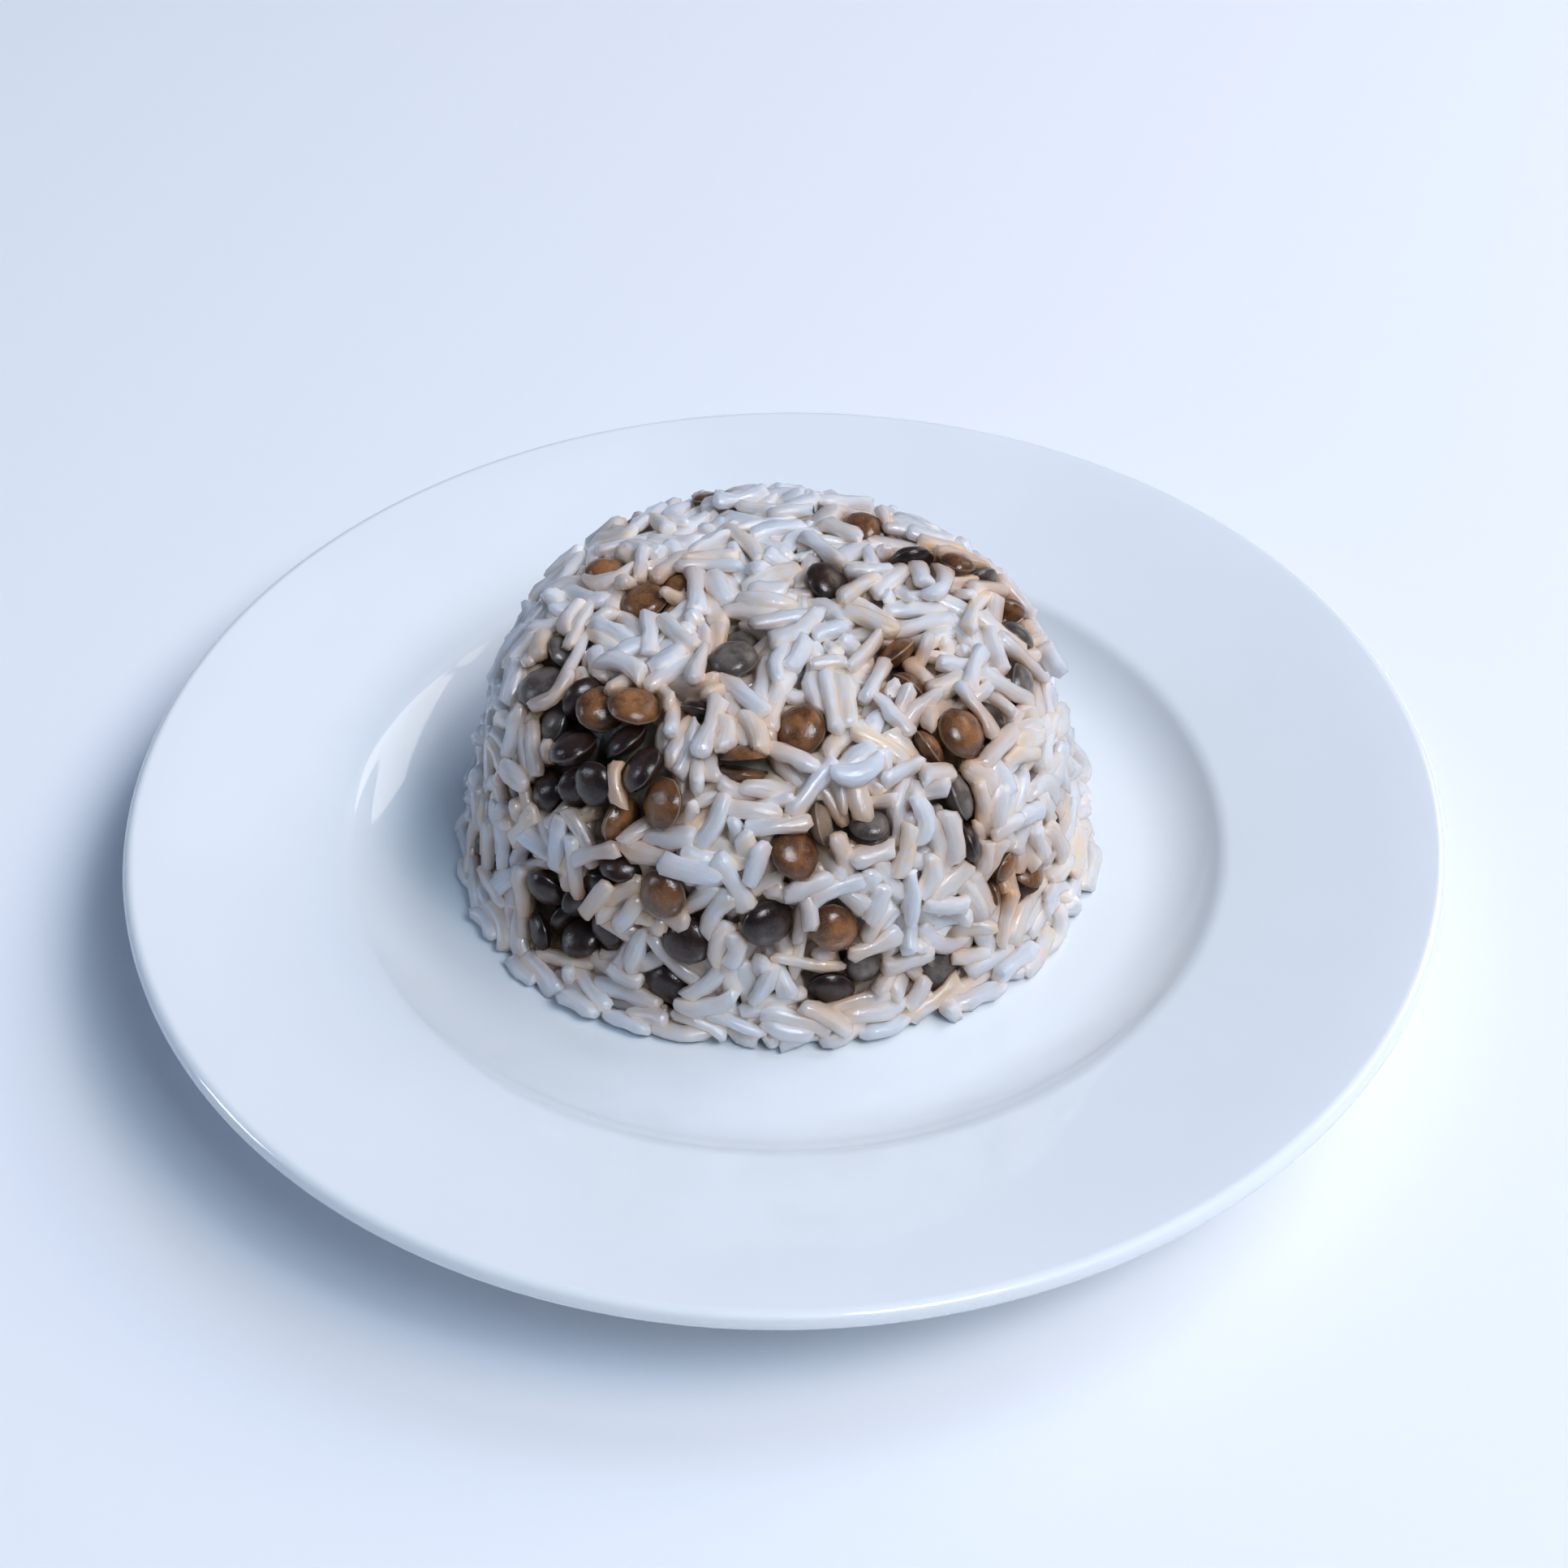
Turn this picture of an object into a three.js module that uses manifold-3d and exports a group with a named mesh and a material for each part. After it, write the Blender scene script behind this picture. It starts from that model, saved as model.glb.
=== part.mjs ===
// Boiled rice mixed with brown lentils, turned out of a round mould onto a rimmed porcelain plate.
// Millimetres, +Z up. The origin is the centre of the plate's foot ring, on what the plate stands on.
// The front of the serving faces -Y. An azimuth is measured from the front, positive towards +X.
// A polar angle is measured at the middle of the mound's base, from 0 at the crown to 90 at the base.

import * as THREE from "three";
import { mergeVertices } from "three/addons/utils/BufferGeometryUtils.js";
import Module from "manifold-3d";

const wasm = await Module();
wasm.setup();

// ---- Plate: driving dimensions ----
const PLATE_RADIUS = 95;
const LIP_RADIUS = 1.5; // the lip is a full round, 3 mm thick
const RIM_SLOPE = THREE.MathUtils.degToRad(13);
const FLOOR_HEIGHT = 7; // top of the well's flat floor
const FLOOR_RADIUS = 52;
const COVE_RADIUS = 16.5; // concave curve from the floor up the wall of the well
const COVE_SWEEP = THREE.MathUtils.degToRad(42);
const SHOULDER_RADIUS = 5; // convex curve from the wall to the rim
const FOOT_OUTER_RADIUS = 57;
const FOOT_INNER_RADIUS = 52.5;
const FOOT_CHAMFER = 0.5;
const FOOT_DEPTH = 2.4; // the underside inside the foot ring stands this high
const FOOT_ROOT_HEIGHT = 3; // the foot ring's outer face meets the wall's underside here
const FOOT_TAPER = 0.8; // each face of the foot ring leans out by this much towards its root
const RIM_UNDER_SLOPE = THREE.MathUtils.degToRad(15); // steeper than the top: the rim thickens inwards
const RIM_UNDER_RADIUS = 65; // the rim's underside ends here, and turns down
const WALL_UNDER_RADIUS = 61;
const WALL_UNDER_HEIGHT = 6;
const PLATE_SEGMENTS = 64;

// ---- Mound: driving dimensions ----
const MOUND_CENTRE = new THREE.Vector2(-1, 5);
const MOUND_RADIUS = 43.4;
const MOUND_HEIGHT = 43.4;
const MOUND_SQUARENESS = 3.2; // exponent of the mould's superellipse section: 2 is a ball, more is boxier
const SKIRT_FLARE = 3.6; // how far the loosened foot of the mound spreads
const SKIRT_HEIGHT = 6; // height over which that spread fades
const REST_GAP = 0.1; // between the mound and the plate
const CORE_INSET = 1.6; // the packed core lies this far inside the outline of the mould
const CORE_SEGMENTS = 24;
const CORE_RINGS = 8;

// ---- Pieces of food ----
const GRAIN_LENGTH = [7.6, 10.4];
const GRAIN_WIDTH = [2.4, 2.9];
const GRAIN_SIDES = 5;
const GRAIN_SHOULDER = 0.62; // the blunt ends start this share of the way out from a grain's middle
const GRAIN_COUNT = 190;
const SKIRT_GRAIN_COUNT = 22; // loose grains that lie round the foot of the mound
const SKIRT_TURN = 0.8; // the most that one of them turns from lying along the foot, in radians
const GRAIN_TIP = 0.15; // the most that a grain leans out of the mound's surface, in radians
const GRAIN_SINK = 1.0; // depth of a grain's middle inside the outline of the mould
const GRAIN_BEND = 0.16; // how far the ends of the most bent grain lean, against its length
const LENTIL_DIAMETER = [5.8, 6.8];
const LENTIL_THICKNESS = 0.6; // as a share of its diameter
const LENTIL_SIDES = 7;
const LENTIL_SHOULDER = 0.35; // half height of a lentil's edge, as a share of its half thickness
const LENTIL_SINK = 1.2;
const LENTIL_TIP = 0.65; // the most that a lentil leans out of the mound's surface, in radians
const BACK_LENTILS = 26;
const BACK_AZIMUTH = 118; // beyond this azimuth, either way, the lentils follow an even spread
const GOLDEN_ANGLE = Math.PI * (3 - Math.sqrt(5));
const SPREAD_TURN = 0.06; // radians by which a place may leave the spiral

// Lentils of the front and sides, in belts round the mound: a polar angle and the azimuths on it, in degrees.
const LENTIL_BELTS = [
  { polar: 12, azimuths: [-32, 114] },
  { polar: 20, azimuths: [-110, -22] },
  { polar: 26, azimuths: [-95, 60, 116] },
  { polar: 32, azimuths: [-26, 8, 50, 145] },
  { polar: 37, azimuths: [-114, -43, -8, 110] },
  { polar: 41, azimuths: [-82, -59, 41, 50, 99] },
  { polar: 46, azimuths: [-72, -50, -37, -24, 61, 76, 89] },
  { polar: 53, azimuths: [-57, -43, 7, 20, 41] },
  { polar: 61, azimuths: [-67, -32, -21, 39] },
  { polar: 67, azimuths: [-14, -3, 10, 47] },
  { polar: 74, azimuths: [-49, -40, 56, 67] },
  { polar: 81, azimuths: [-73, -55, -20, 11, 31] },
];

const JOIN_TOLERANCE = 0.05; // faces and steps finer than this are smoothed away once the pieces are joined

// A generator of even random numbers in [0, 1), the same on every run.
function seededRandom(seed) {
  let state = seed;
  return () => {
    state = (state + 0x6d2b79f5) | 0;
    let t = Math.imul(state ^ (state >>> 15), 1 | state);
    t = (t + Math.imul(t ^ (t >>> 7), 61 | t)) ^ t;
    return ((t ^ (t >>> 14)) >>> 0) / 4294967296;
  };
}

const between = ([low, high], share) => low + (high - low) * share;
const evenSpread = (random) => 2 * random() - 1;

// ---- Plate ----

// Points of an arc in the (radius, height) half-plane. Angles are in radians, from the outward direction.
function arc(centre, radius, from, to, steps) {
  return Array.from({ length: steps + 1 }, (_, i) => {
    const angle = from + ((to - from) * i) / steps;
    return new THREE.Vector2(centre.x + radius * Math.cos(angle), centre.y + radius * Math.sin(angle));
  });
}

// The eating side, from the edge of the floor to the lip: cove, shoulder, and the start of the straight rim.
function eatingSide() {
  const down = -Math.PI / 2;
  const coveCentre = new THREE.Vector2(FLOOR_RADIUS, FLOOR_HEIGHT + COVE_RADIUS);
  const cove = arc(coveCentre, COVE_RADIUS, down, down + COVE_SWEEP, 5);
  const wall = cove[cove.length - 1];
  const shoulderCentre = new THREE.Vector2(
    wall.x + SHOULDER_RADIUS * Math.sin(COVE_SWEEP),
    wall.y - SHOULDER_RADIUS * Math.cos(COVE_SWEEP),
  );
  const up = Math.PI / 2;
  const shoulder = arc(shoulderCentre, SHOULDER_RADIUS, up + COVE_SWEEP, up + RIM_SLOPE, 3);
  const rimStart = shoulder[shoulder.length - 1];
  const lipCentreRadius = PLATE_RADIUS - LIP_RADIUS;
  const rimRun = lipCentreRadius - LIP_RADIUS * Math.sin(RIM_SLOPE) - rimStart.x;
  const rimEnd = new THREE.Vector2(rimStart.x + rimRun, rimStart.y + rimRun * Math.tan(RIM_SLOPE));
  const lipCentre = new THREE.Vector2(lipCentreRadius, rimEnd.y - LIP_RADIUS * Math.cos(RIM_SLOPE));
  return { points: [...cove, ...shoulder.slice(1)], rimStart, lipCentre };
}

const eatingFace = eatingSide();

// Height of the eating side at a radius from the plate's axis.
function plateTop(radius) {
  if (radius <= FLOOR_RADIUS) return FLOOR_HEIGHT;
  const run = radius - FLOOR_RADIUS;
  const coveRun = COVE_RADIUS * Math.sin(COVE_SWEEP);
  if (run < coveRun) return FLOOR_HEIGHT + COVE_RADIUS - Math.sqrt(COVE_RADIUS ** 2 - run ** 2);
  return eatingFace.rimStart.y + (radius - eatingFace.rimStart.x) * Math.tan(RIM_SLOPE);
}

function plateGeometry() {
  const { points, lipCentre } = eatingFace;
  const up = Math.PI / 2;
  const lip = arc(lipCentre, LIP_RADIUS, up + RIM_SLOPE, -up + RIM_SLOPE, 7);
  const lipEnd = lip[lip.length - 1];
  const rimUnderHeight = lipEnd.y - (lipEnd.x - RIM_UNDER_RADIUS) * Math.tan(RIM_UNDER_SLOPE);
  const outline = [
    new THREE.Vector2(0, FLOOR_HEIGHT),
    ...points,
    ...lip,
    new THREE.Vector2(RIM_UNDER_RADIUS, rimUnderHeight),
    new THREE.Vector2(WALL_UNDER_RADIUS, WALL_UNDER_HEIGHT),
    new THREE.Vector2(FOOT_OUTER_RADIUS + FOOT_TAPER, FOOT_ROOT_HEIGHT),
    new THREE.Vector2(FOOT_OUTER_RADIUS, FOOT_CHAMFER),
    new THREE.Vector2(FOOT_OUTER_RADIUS - FOOT_CHAMFER, 0),
    new THREE.Vector2(FOOT_INNER_RADIUS + FOOT_CHAMFER, 0),
    new THREE.Vector2(FOOT_INNER_RADIUS, FOOT_CHAMFER),
    new THREE.Vector2(FOOT_INNER_RADIUS - FOOT_TAPER, FOOT_DEPTH),
    new THREE.Vector2(0, FOOT_DEPTH),
  ];
  // Reversed, so that the revolved faces point out; then the lathe's axis is turned from Y to Z.
  return new THREE.LatheGeometry(outline.reverse(), PLATE_SEGMENTS).rotateX(up);
}

// ---- Mound ----

// Section of the mould at a polar angle in radians: radius and height from the middle of the mound's base.
function mouldSection(polar) {
  const across = Math.sin(polar) / MOUND_RADIUS;
  const along = Math.max(Math.cos(polar), 0) / MOUND_HEIGHT;
  const reach = (across ** MOUND_SQUARENESS + along ** MOUND_SQUARENESS) ** (-1 / MOUND_SQUARENESS);
  const height = reach * Math.max(Math.cos(polar), 0);
  const flare = SKIRT_FLARE * Math.exp(-height / SKIRT_HEIGHT) * Math.sin(polar);
  return new THREE.Vector2(reach * Math.sin(polar) + flare, height);
}

// Outward normal of that section, in the same half-plane.
function mouldNormal(polar) {
  const step = 0.01;
  const before = mouldSection(Math.max(polar - step, 0));
  const after = mouldSection(Math.min(polar + step, Math.PI / 2));
  return new THREE.Vector2(before.y - after.y, after.x - before.x).normalize();
}

// A frame on the mould's surface, sunk by a depth: position, outward, and two directions along the surface.
function mouldFrame(azimuth, polar, sink) {
  const section = mouldSection(polar).addScaledVector(mouldNormal(polar), -sink);
  const normal = mouldNormal(polar);
  const away = new THREE.Vector3(Math.sin(azimuth), -Math.cos(azimuth), 0);
  const outward = away.clone().multiplyScalar(normal.x).setZ(normal.y);
  const position = away.clone().multiplyScalar(section.x);
  position.add(new THREE.Vector3(MOUND_CENTRE.x, MOUND_CENTRE.y, FLOOR_HEIGHT + section.y));
  const round = new THREE.Vector3(Math.cos(azimuth), Math.sin(azimuth), 0);
  return { position, outward, round, downward: new THREE.Vector3().crossVectors(outward, round) };
}

// Polar angle that has a given share of the mould's curved area above it.
const polarOfShare = (() => {
  const steps = 180;
  const totals = [0];
  for (let i = 0; i < steps; i += 1) {
    const a = mouldSection((Math.PI / 2 / steps) * i);
    const b = mouldSection((Math.PI / 2 / steps) * (i + 1));
    totals.push(totals[i] + ((a.x + b.x) / 2) * a.distanceTo(b));
  }
  return (share) => {
    const wanted = share * totals[steps];
    const i = Math.max(1, totals.findIndex((total) => total >= wanted));
    const part = (wanted - totals[i - 1]) / (totals[i] - totals[i - 1]);
    return ((i - 1 + part) * Math.PI) / 2 / steps;
  };
})();

// Evenly spread places over the mould, on a golden-angle spiral with a seeded shift of each.
function spreadPlaces(count, random, shift) {
  return Array.from({ length: count }, (_, i) => {
    const share = (i + 0.5 + (shift / 2) * evenSpread(random)) / count;
    const azimuth = i * GOLDEN_ANGLE + shift * SPREAD_TURN * evenSpread(random);
    return { azimuth: Math.atan2(Math.sin(azimuth), Math.cos(azimuth)), polar: polarOfShare(share) };
  });
}

// The packed core: the mould's form, inset, with a flat base just clear of the plate.
function coreGeometry() {
  const outline = Array.from({ length: CORE_RINGS + 1 }, (_, i) => {
    const polar = (Math.PI / 2) * (1 - i / CORE_RINGS);
    return mouldSection(polar).addScaledVector(mouldNormal(polar), -CORE_INSET);
  });
  outline[0].y = 0;
  outline[CORE_RINGS].x = 0;
  const base = new THREE.Vector2(0, 0);
  const geometry = new THREE.LatheGeometry([base, ...outline], CORE_SEGMENTS).rotateX(Math.PI / 2);
  return geometry.translate(MOUND_CENTRE.x, MOUND_CENTRE.y, FLOOR_HEIGHT + REST_GAP);
}

// A closed spindle along Z, from -1 to 1: a barrel of radius 1 up to a shoulder, then a point at each end.
function spindle(sides, shoulder) {
  const ball = new THREE.SphereGeometry(1, sides, 3).rotateX(Math.PI / 2);
  const points = ball.getAttribute("position");
  for (let i = 0; i < points.count; i += 1) {
    const across = Math.hypot(points.getX(i), points.getY(i));
    if (across < 0.1) continue;
    points.setXYZ(i, points.getX(i) / across, points.getY(i) / across, Math.sign(points.getZ(i)) * shoulder);
  }
  return ball;
}

// A boiled grain of rice along X. Its ends bend off to one side along Y.
function grainGeometry(length, width, bend) {
  const grain = spindle(GRAIN_SIDES, GRAIN_SHOULDER).rotateY(Math.PI / 2);
  grain.scale(length / 2, width / 2, width / 2);
  const points = grain.getAttribute("position");
  for (let i = 0; i < points.count; i += 1) {
    const along = points.getX(i) / (length / 2);
    points.setY(i, points.getY(i) + bend * length * (GRAIN_SHOULDER ** 2 - along ** 2));
  }
  return grain;
}

// A boiled lentil: a thick lens, flat along Z.
function lentilGeometry(diameter) {
  const thickness = diameter * LENTIL_THICKNESS;
  return spindle(LENTIL_SIDES, LENTIL_SHOULDER).scale(diameter / 2, diameter / 2, thickness / 2);
}

// Turns a piece into its frame, tips it, and lifts it clear of the plate wherever it would cross it.
function placePiece(geometry, frame, turn, tip) {
  const flat = new THREE.Matrix4().makeBasis(frame.round, frame.downward, frame.outward);
  const turned = new THREE.Matrix4().makeRotationZ(turn);
  geometry.applyMatrix4(new THREE.Matrix4().makeRotationY(tip));
  geometry.applyMatrix4(turned).applyMatrix4(flat).translate(...frame.position.toArray());
  const points = geometry.getAttribute("position");
  let lift = 0;
  for (let i = 0; i < points.count; i += 1) {
    const top = plateTop(Math.hypot(points.getX(i), points.getY(i))) + REST_GAP;
    lift = Math.max(lift, top - points.getZ(i));
  }
  return geometry.translate(0, 0, lift);
}

function lentilPlaces(random) {
  const radians = THREE.MathUtils.degToRad;
  const shown = LENTIL_BELTS.flatMap(({ polar, azimuths }) =>
    azimuths.map((azimuth) => ({ azimuth: radians(azimuth), polar: radians(polar) })),
  );
  const spread = spreadPlaces(Math.round((BACK_LENTILS * 180) / (180 - BACK_AZIMUTH)), random, 0.6);
  return [...shown, ...spread.filter(({ azimuth }) => Math.abs(azimuth) > radians(BACK_AZIMUTH))];
}

function lentilPieces(places, random) {
  return places.map(({ azimuth, polar }) => {
    const lentil = lentilGeometry(between(LENTIL_DIAMETER, random()));
    const tip = LENTIL_TIP * evenSpread(random);
    return placePiece(lentil, mouldFrame(azimuth, polar, LENTIL_SINK), random() * Math.PI, tip);
  });
}

function seededGrain(random) {
  const bend = GRAIN_BEND * evenSpread(random);
  return grainGeometry(between(GRAIN_LENGTH, random()), between(GRAIN_WIDTH, random()), bend);
}

// The grains over the mould, left out where a lentil lies.
function grainPieces(lentils, random) {
  const taken = lentils.map(({ azimuth, polar }) => mouldFrame(azimuth, polar, 0).position);
  const clearance = (LENTIL_DIAMETER[0] + GRAIN_WIDTH[0]) / 2;
  return spreadPlaces(GRAIN_COUNT, random, 1).flatMap(({ azimuth, polar }) => {
    const frame = mouldFrame(azimuth, polar, GRAIN_SINK);
    const placed = placePiece(seededGrain(random), frame, random() * Math.PI, GRAIN_TIP * evenSpread(random));
    return taken.some((place) => place.distanceTo(frame.position) < clearance) ? [] : [placed];
  });
}

// The loose grains that lie on the plate, against the foot of the mound.
function skirtPieces(random) {
  const reach = mouldSection(Math.PI / 2).x - CORE_INSET;
  return Array.from({ length: SKIRT_GRAIN_COUNT }, (_, i) => {
    const azimuth = ((i + 0.7 * random()) / SKIRT_GRAIN_COUNT) * 2 * Math.PI;
    const away = new THREE.Vector3(Math.sin(azimuth), -Math.cos(azimuth), 0);
    const position = away.clone().multiplyScalar(reach + random());
    position.add(new THREE.Vector3(MOUND_CENTRE.x, MOUND_CENTRE.y, FLOOR_HEIGHT));
    const round = new THREE.Vector3(-away.y, away.x, 0);
    const frame = { position, outward: new THREE.Vector3(0, 0, 1), round, downward: away.clone().negate() };
    return placePiece(seededGrain(random), frame, SKIRT_TURN * evenSpread(random), 0);
  });
}

// ---- Joining ----

// A closed mesh as a manifold-3d solid.
function solidOf(geometry) {
  const bare = geometry.clone();
  bare.deleteAttribute("normal");
  bare.deleteAttribute("uv");
  const merged = mergeVertices(bare, 1e-3);
  const mesh = new wasm.Mesh({
    numProp: 3,
    vertProperties: merged.getAttribute("position").array,
    triVerts: new Uint32Array(merged.getIndex().array),
  });
  return new wasm.Manifold(mesh);
}

function geometryOf(solid) {
  const { vertProperties, triVerts, numProp } = solid.getMesh();
  const positions = Float32Array.from(
    { length: (vertProperties.length / numProp) * 3 },
    (_, i) => vertProperties[Math.floor(i / 3) * numProp + (i % 3)],
  );
  const geometry = new THREE.BufferGeometry();
  geometry.setAttribute("position", new THREE.BufferAttribute(positions, 3));
  geometry.setIndex(new THREE.BufferAttribute(triVerts, 1));
  geometry.computeVertexNormals();
  return geometry;
}

// The largest closed surface of a solid: its sealed hollows are filled and its loose scraps dropped.
function largestBody(solid) {
  return solid.decompose().reduce((a, b) => (b.volume() > a.volume() ? b : a));
}

// The pieces fused onto the core, as one body.
function fuse(core, pieces) {
  const joined = wasm.Manifold.union([core, ...pieces].map(solidOf));
  // A second pass, on the vertices merged once more, opens what only touches itself at an edge or a corner.
  return geometryOf(largestBody(solidOf(geometryOf(largestBody(joined)))).simplify(JOIN_TOLERANCE));
}

function moundGeometry() {
  const random = seededRandom(13);
  const places = lentilPlaces(random);
  const lentils = lentilPieces(places, random);
  return fuse(coreGeometry(), [...lentils, ...grainPieces(places, random), ...skirtPieces(random)]);
}

// ---- The part ----

const glazedPorcelain = new THREE.MeshStandardMaterial({ color: 0xe6edf7, roughness: 0.12, metalness: 0 });
const boiledRice = new THREE.MeshStandardMaterial({ color: 0xd9d0c6, roughness: 0.45, metalness: 0 });

const plate = new THREE.Mesh(plateGeometry(), glazedPorcelain);
plate.name = "plate";

const mound = new THREE.Mesh(moundGeometry(), boiledRice);
mound.name = "rice_and_lentils";

const serving = new THREE.Group();
serving.name = "rice_and_lentils_on_plate";
serving.add(plate, mound);

export default serving;
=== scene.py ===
"""Boiled rice and brown lentils, turned out of a round mould onto a rimmed porcelain plate.

Lengths in the section "Sizes" are in millimetres, and every mesh is in metres, +Z up. The origin is the
centre of the plate's foot ring. The front of the serving faces -Y. An azimuth is measured from the front,
positive towards +X. A polar angle is measured at the middle of the mound's base, from 0 at the crown to 90
at the foot.
"""

import itertools
import math
from types import SimpleNamespace

import bpy
import numpy as np
from mathutils import Matrix, Vector


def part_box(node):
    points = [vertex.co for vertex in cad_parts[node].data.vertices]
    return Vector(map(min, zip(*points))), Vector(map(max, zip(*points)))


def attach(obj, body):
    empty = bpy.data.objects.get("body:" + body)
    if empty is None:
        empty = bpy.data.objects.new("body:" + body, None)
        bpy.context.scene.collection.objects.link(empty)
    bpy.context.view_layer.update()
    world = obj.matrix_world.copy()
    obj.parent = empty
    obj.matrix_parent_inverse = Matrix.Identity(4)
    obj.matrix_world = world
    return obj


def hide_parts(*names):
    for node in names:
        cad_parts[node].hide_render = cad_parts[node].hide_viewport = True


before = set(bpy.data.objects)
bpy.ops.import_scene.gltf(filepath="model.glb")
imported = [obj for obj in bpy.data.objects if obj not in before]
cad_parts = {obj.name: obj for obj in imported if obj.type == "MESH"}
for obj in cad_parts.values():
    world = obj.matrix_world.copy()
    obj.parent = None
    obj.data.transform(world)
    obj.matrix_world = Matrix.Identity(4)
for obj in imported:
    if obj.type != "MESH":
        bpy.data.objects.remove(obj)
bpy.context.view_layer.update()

# ---- Sizes, in millimetres ----

MM = 0.001

PLATE_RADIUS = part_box("plate")[1].x / MM
LIP_RADIUS = 1.5
RIM_SLOPE = math.radians(13)
FLOOR_HEIGHT = 7.0
FLOOR_RADIUS = 52.0
COVE_RADIUS = 16.5
COVE_SWEEP = math.radians(42)
SHOULDER_RADIUS = 5.0
UNDER_SLOPE = math.radians(15)
UNDER_MIDDLE = 80.0  # radius halfway in under the rim
UNDER_TURN = 65.0  # radius where the underside of the rim turns down to the foot
TURN_START = (1.5, 0.45)  # how far out and above the turn starts
UNDER_WALL = ((63.4, 7.3), (61.0, 6.0), (59.2, 4.3), (58.1, 3.4), (57.6, 2.7), (57.0, 0.9))  # from there on
FOOT_OUTER_RADIUS = 57.0
FOOT_INNER_RADIUS = 52.5
FOOT_EDGE = 0.5  # rounding of the foot ring's edges
FOOT_DEPTH = 2.4
FOOT_INNER_WALL = ((52.2, 1.6), (51.5, 2.3), (50.5, FOOT_DEPTH), (25.0, FOOT_DEPTH), (0.0, FOOT_DEPTH))
ARC_STEPS = {"cove": 14, "shoulder": 8, "lip": 16, "foot": 4}
PLATE_STEPS = 192
SHARP_EDGE = math.radians(50)
CORE_STEPS = 160
CORE_RINGS = 44

MOUND_CENTRE = np.array([-1.0, 5.0, FLOOR_HEIGHT])
MOUND_RADIUS = 42.9
MOUND_HEIGHT = 42.4
MOUND_SQUARENESS = 3.4  # exponent of the mould's superellipse section
SKIRT_FLARE = 5.0  # how far the loosened foot of the mound spreads
SKIRT_HEIGHT = 6.0  # height over which that spread fades
RELIEF = 0.8  # dents and bulges left by the turning out
FULL_RELIEF = 1.8  # summed waves that give that height
LID_HEIGHT = 50.9  # where the mould's lid kept every grain down

CORE_INSET = 2.7
CORE_GAP = 0.15  # between the core and the plate
CORE_LUMPS = 0.5
CORE_LUMP_SIZE = 0.6  # of the finer lumps, against the coarser
CORE_LUMP_SHIFT = 5
CORE_FLARE = 0.6  # how much of the mound's flare the core lacks
CORE_FOOT = 1.5  # height up to which the core stays smooth
CORE_HOLLOW = 3.0  # how much deeper the core lies where lentils crowd

GRAIN_LENGTH = (6.6, 8.8, 11.2)  # shortest, likeliest and longest
GRAIN_WIDTH = (2.3, 2.7, 3.3)
GRAIN_THICKNESS = (0.64, 0.9)  # as a share of the width
GRAIN_ROUGHNESS = 0.2
GRAIN_LAYERS = ((0.5, 600), (2.2, 600), (4.0, 300))  # depth of each layer's middle and number of its grains
LAYER_UNEVENNESS = 0.7
PROUD = (0.1, 0.8)  # how far grains stand out of the mould: mean and spread
PROUDEST = 1.4
LOOSE_GRAINS = 64  # lying round the foot
LOOSE_INSET = (-3.8, -2.2, -0.9)  # from the mould's foot to the middle of a loose grain
LOOSE_HEIGHT = (1.2, 3.5)  # from which loose grains drop
LOOSE_SPREAD = 2.0  # how much further out they lie to the left and right of the front and the back
GRAIN_BALLS = 5
GRAIN_END = 0.9  # how far in from a grain's end its last ball sits, against its half width
LENTIL_DIAMETER = (5.8, 7.0)
LENTIL_END = 0.8  # how far in from a lentil's rim its outer balls sit, against its half thickness
LENTIL_BALL = 0.9  # radius of a lentil's balls, against its half thickness
LENTIL_BALLS = 6  # round its middle one
LENTIL_THICKNESS = (0.44, 0.6)  # as a share of the diameter
LENTIL_ROUGHNESS = 0.14

# ---- How grains lie, as shares and radians ----

SEED = 7
SPREAD_BANDS = 400  # into which the mould is cut to find its area
SPREAD_JITTER = (-0.05, 0.05)
LOOSE_JITTER = 0.06
BEND = 0.06  # how far a grain's ends lean to one side, against its length
CURLED_SHARE = 0.08
CURL = (0.14, 0.26)  # the same lean for a curled grain
BEND_PIVOT = 0.33  # keeps the middle of a bent grain in place
LOW_SWING = 0.6  # how far grains near the plate swing from lying round the mound
TIP = 0.3  # how far a grain's ends tip in and out of the mound
LOOSE_TIP = 0.12
UPRIGHT_SHARE = 0.13
UPRIGHT_TIP = (0.5, 1.2)
ROLL = 0.4  # how far grains turn about their length
ROLLED_SHARE = 0.3
ROLLED = (-1.6, 1.6)
TINT = (1.6, 0.2)  # shape and scale of the gamma spread of the grains' warmth, most of them pale
LENTIL_LEAN = 0.2
LENTIL_OVAL = (0.9, 1.0)
LENTIL_TINT = (0.0, 0.8)

# ---- How the pieces settle, in millimetres ----

SETTLING_STEPS = 160
LOOKUP_STEPS = 4  # steps after which the neighbours are looked up again
LOOKUP_MARGIN = 0.4
LENTIL_GIVE = 0.1  # how freely a lentil moves, against 1 for a grain
FULL_GIVE = 0.8  # from which a piece follows the whole of its move
LOOSE_FALL = 0.06  # in a step
SOFTNESS = 0.74  # grains press into each other: each behaves as if it were this share of its width
PUSH_BACK = 1.5  # how firmly the mould and the plate push back
IDLE_TOUCHES = 0.25  # what a ball that touches nothing counts for in its piece's inertia
STRIDE = 1.6  # how much of its mean push a piece follows
SWING = 1.3  # how much of its mean turn it follows
LARGEST_SWING = 0.2
SQUEEZE = 0.1  # outward in a step, to close the shell up
SQUEEZE_END = 0.8  # share of the steps over which that fades
FLOOR_GAP = 0.05
FLOOR_FILM = 0.02  # between the plate and the points pressed onto it
CROWD_REACH = 5.5  # no grain lies this near to three lentils
LENTIL_HOLD = 0.75  # share of a lentil's radius within which no grain's middle lies
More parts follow.
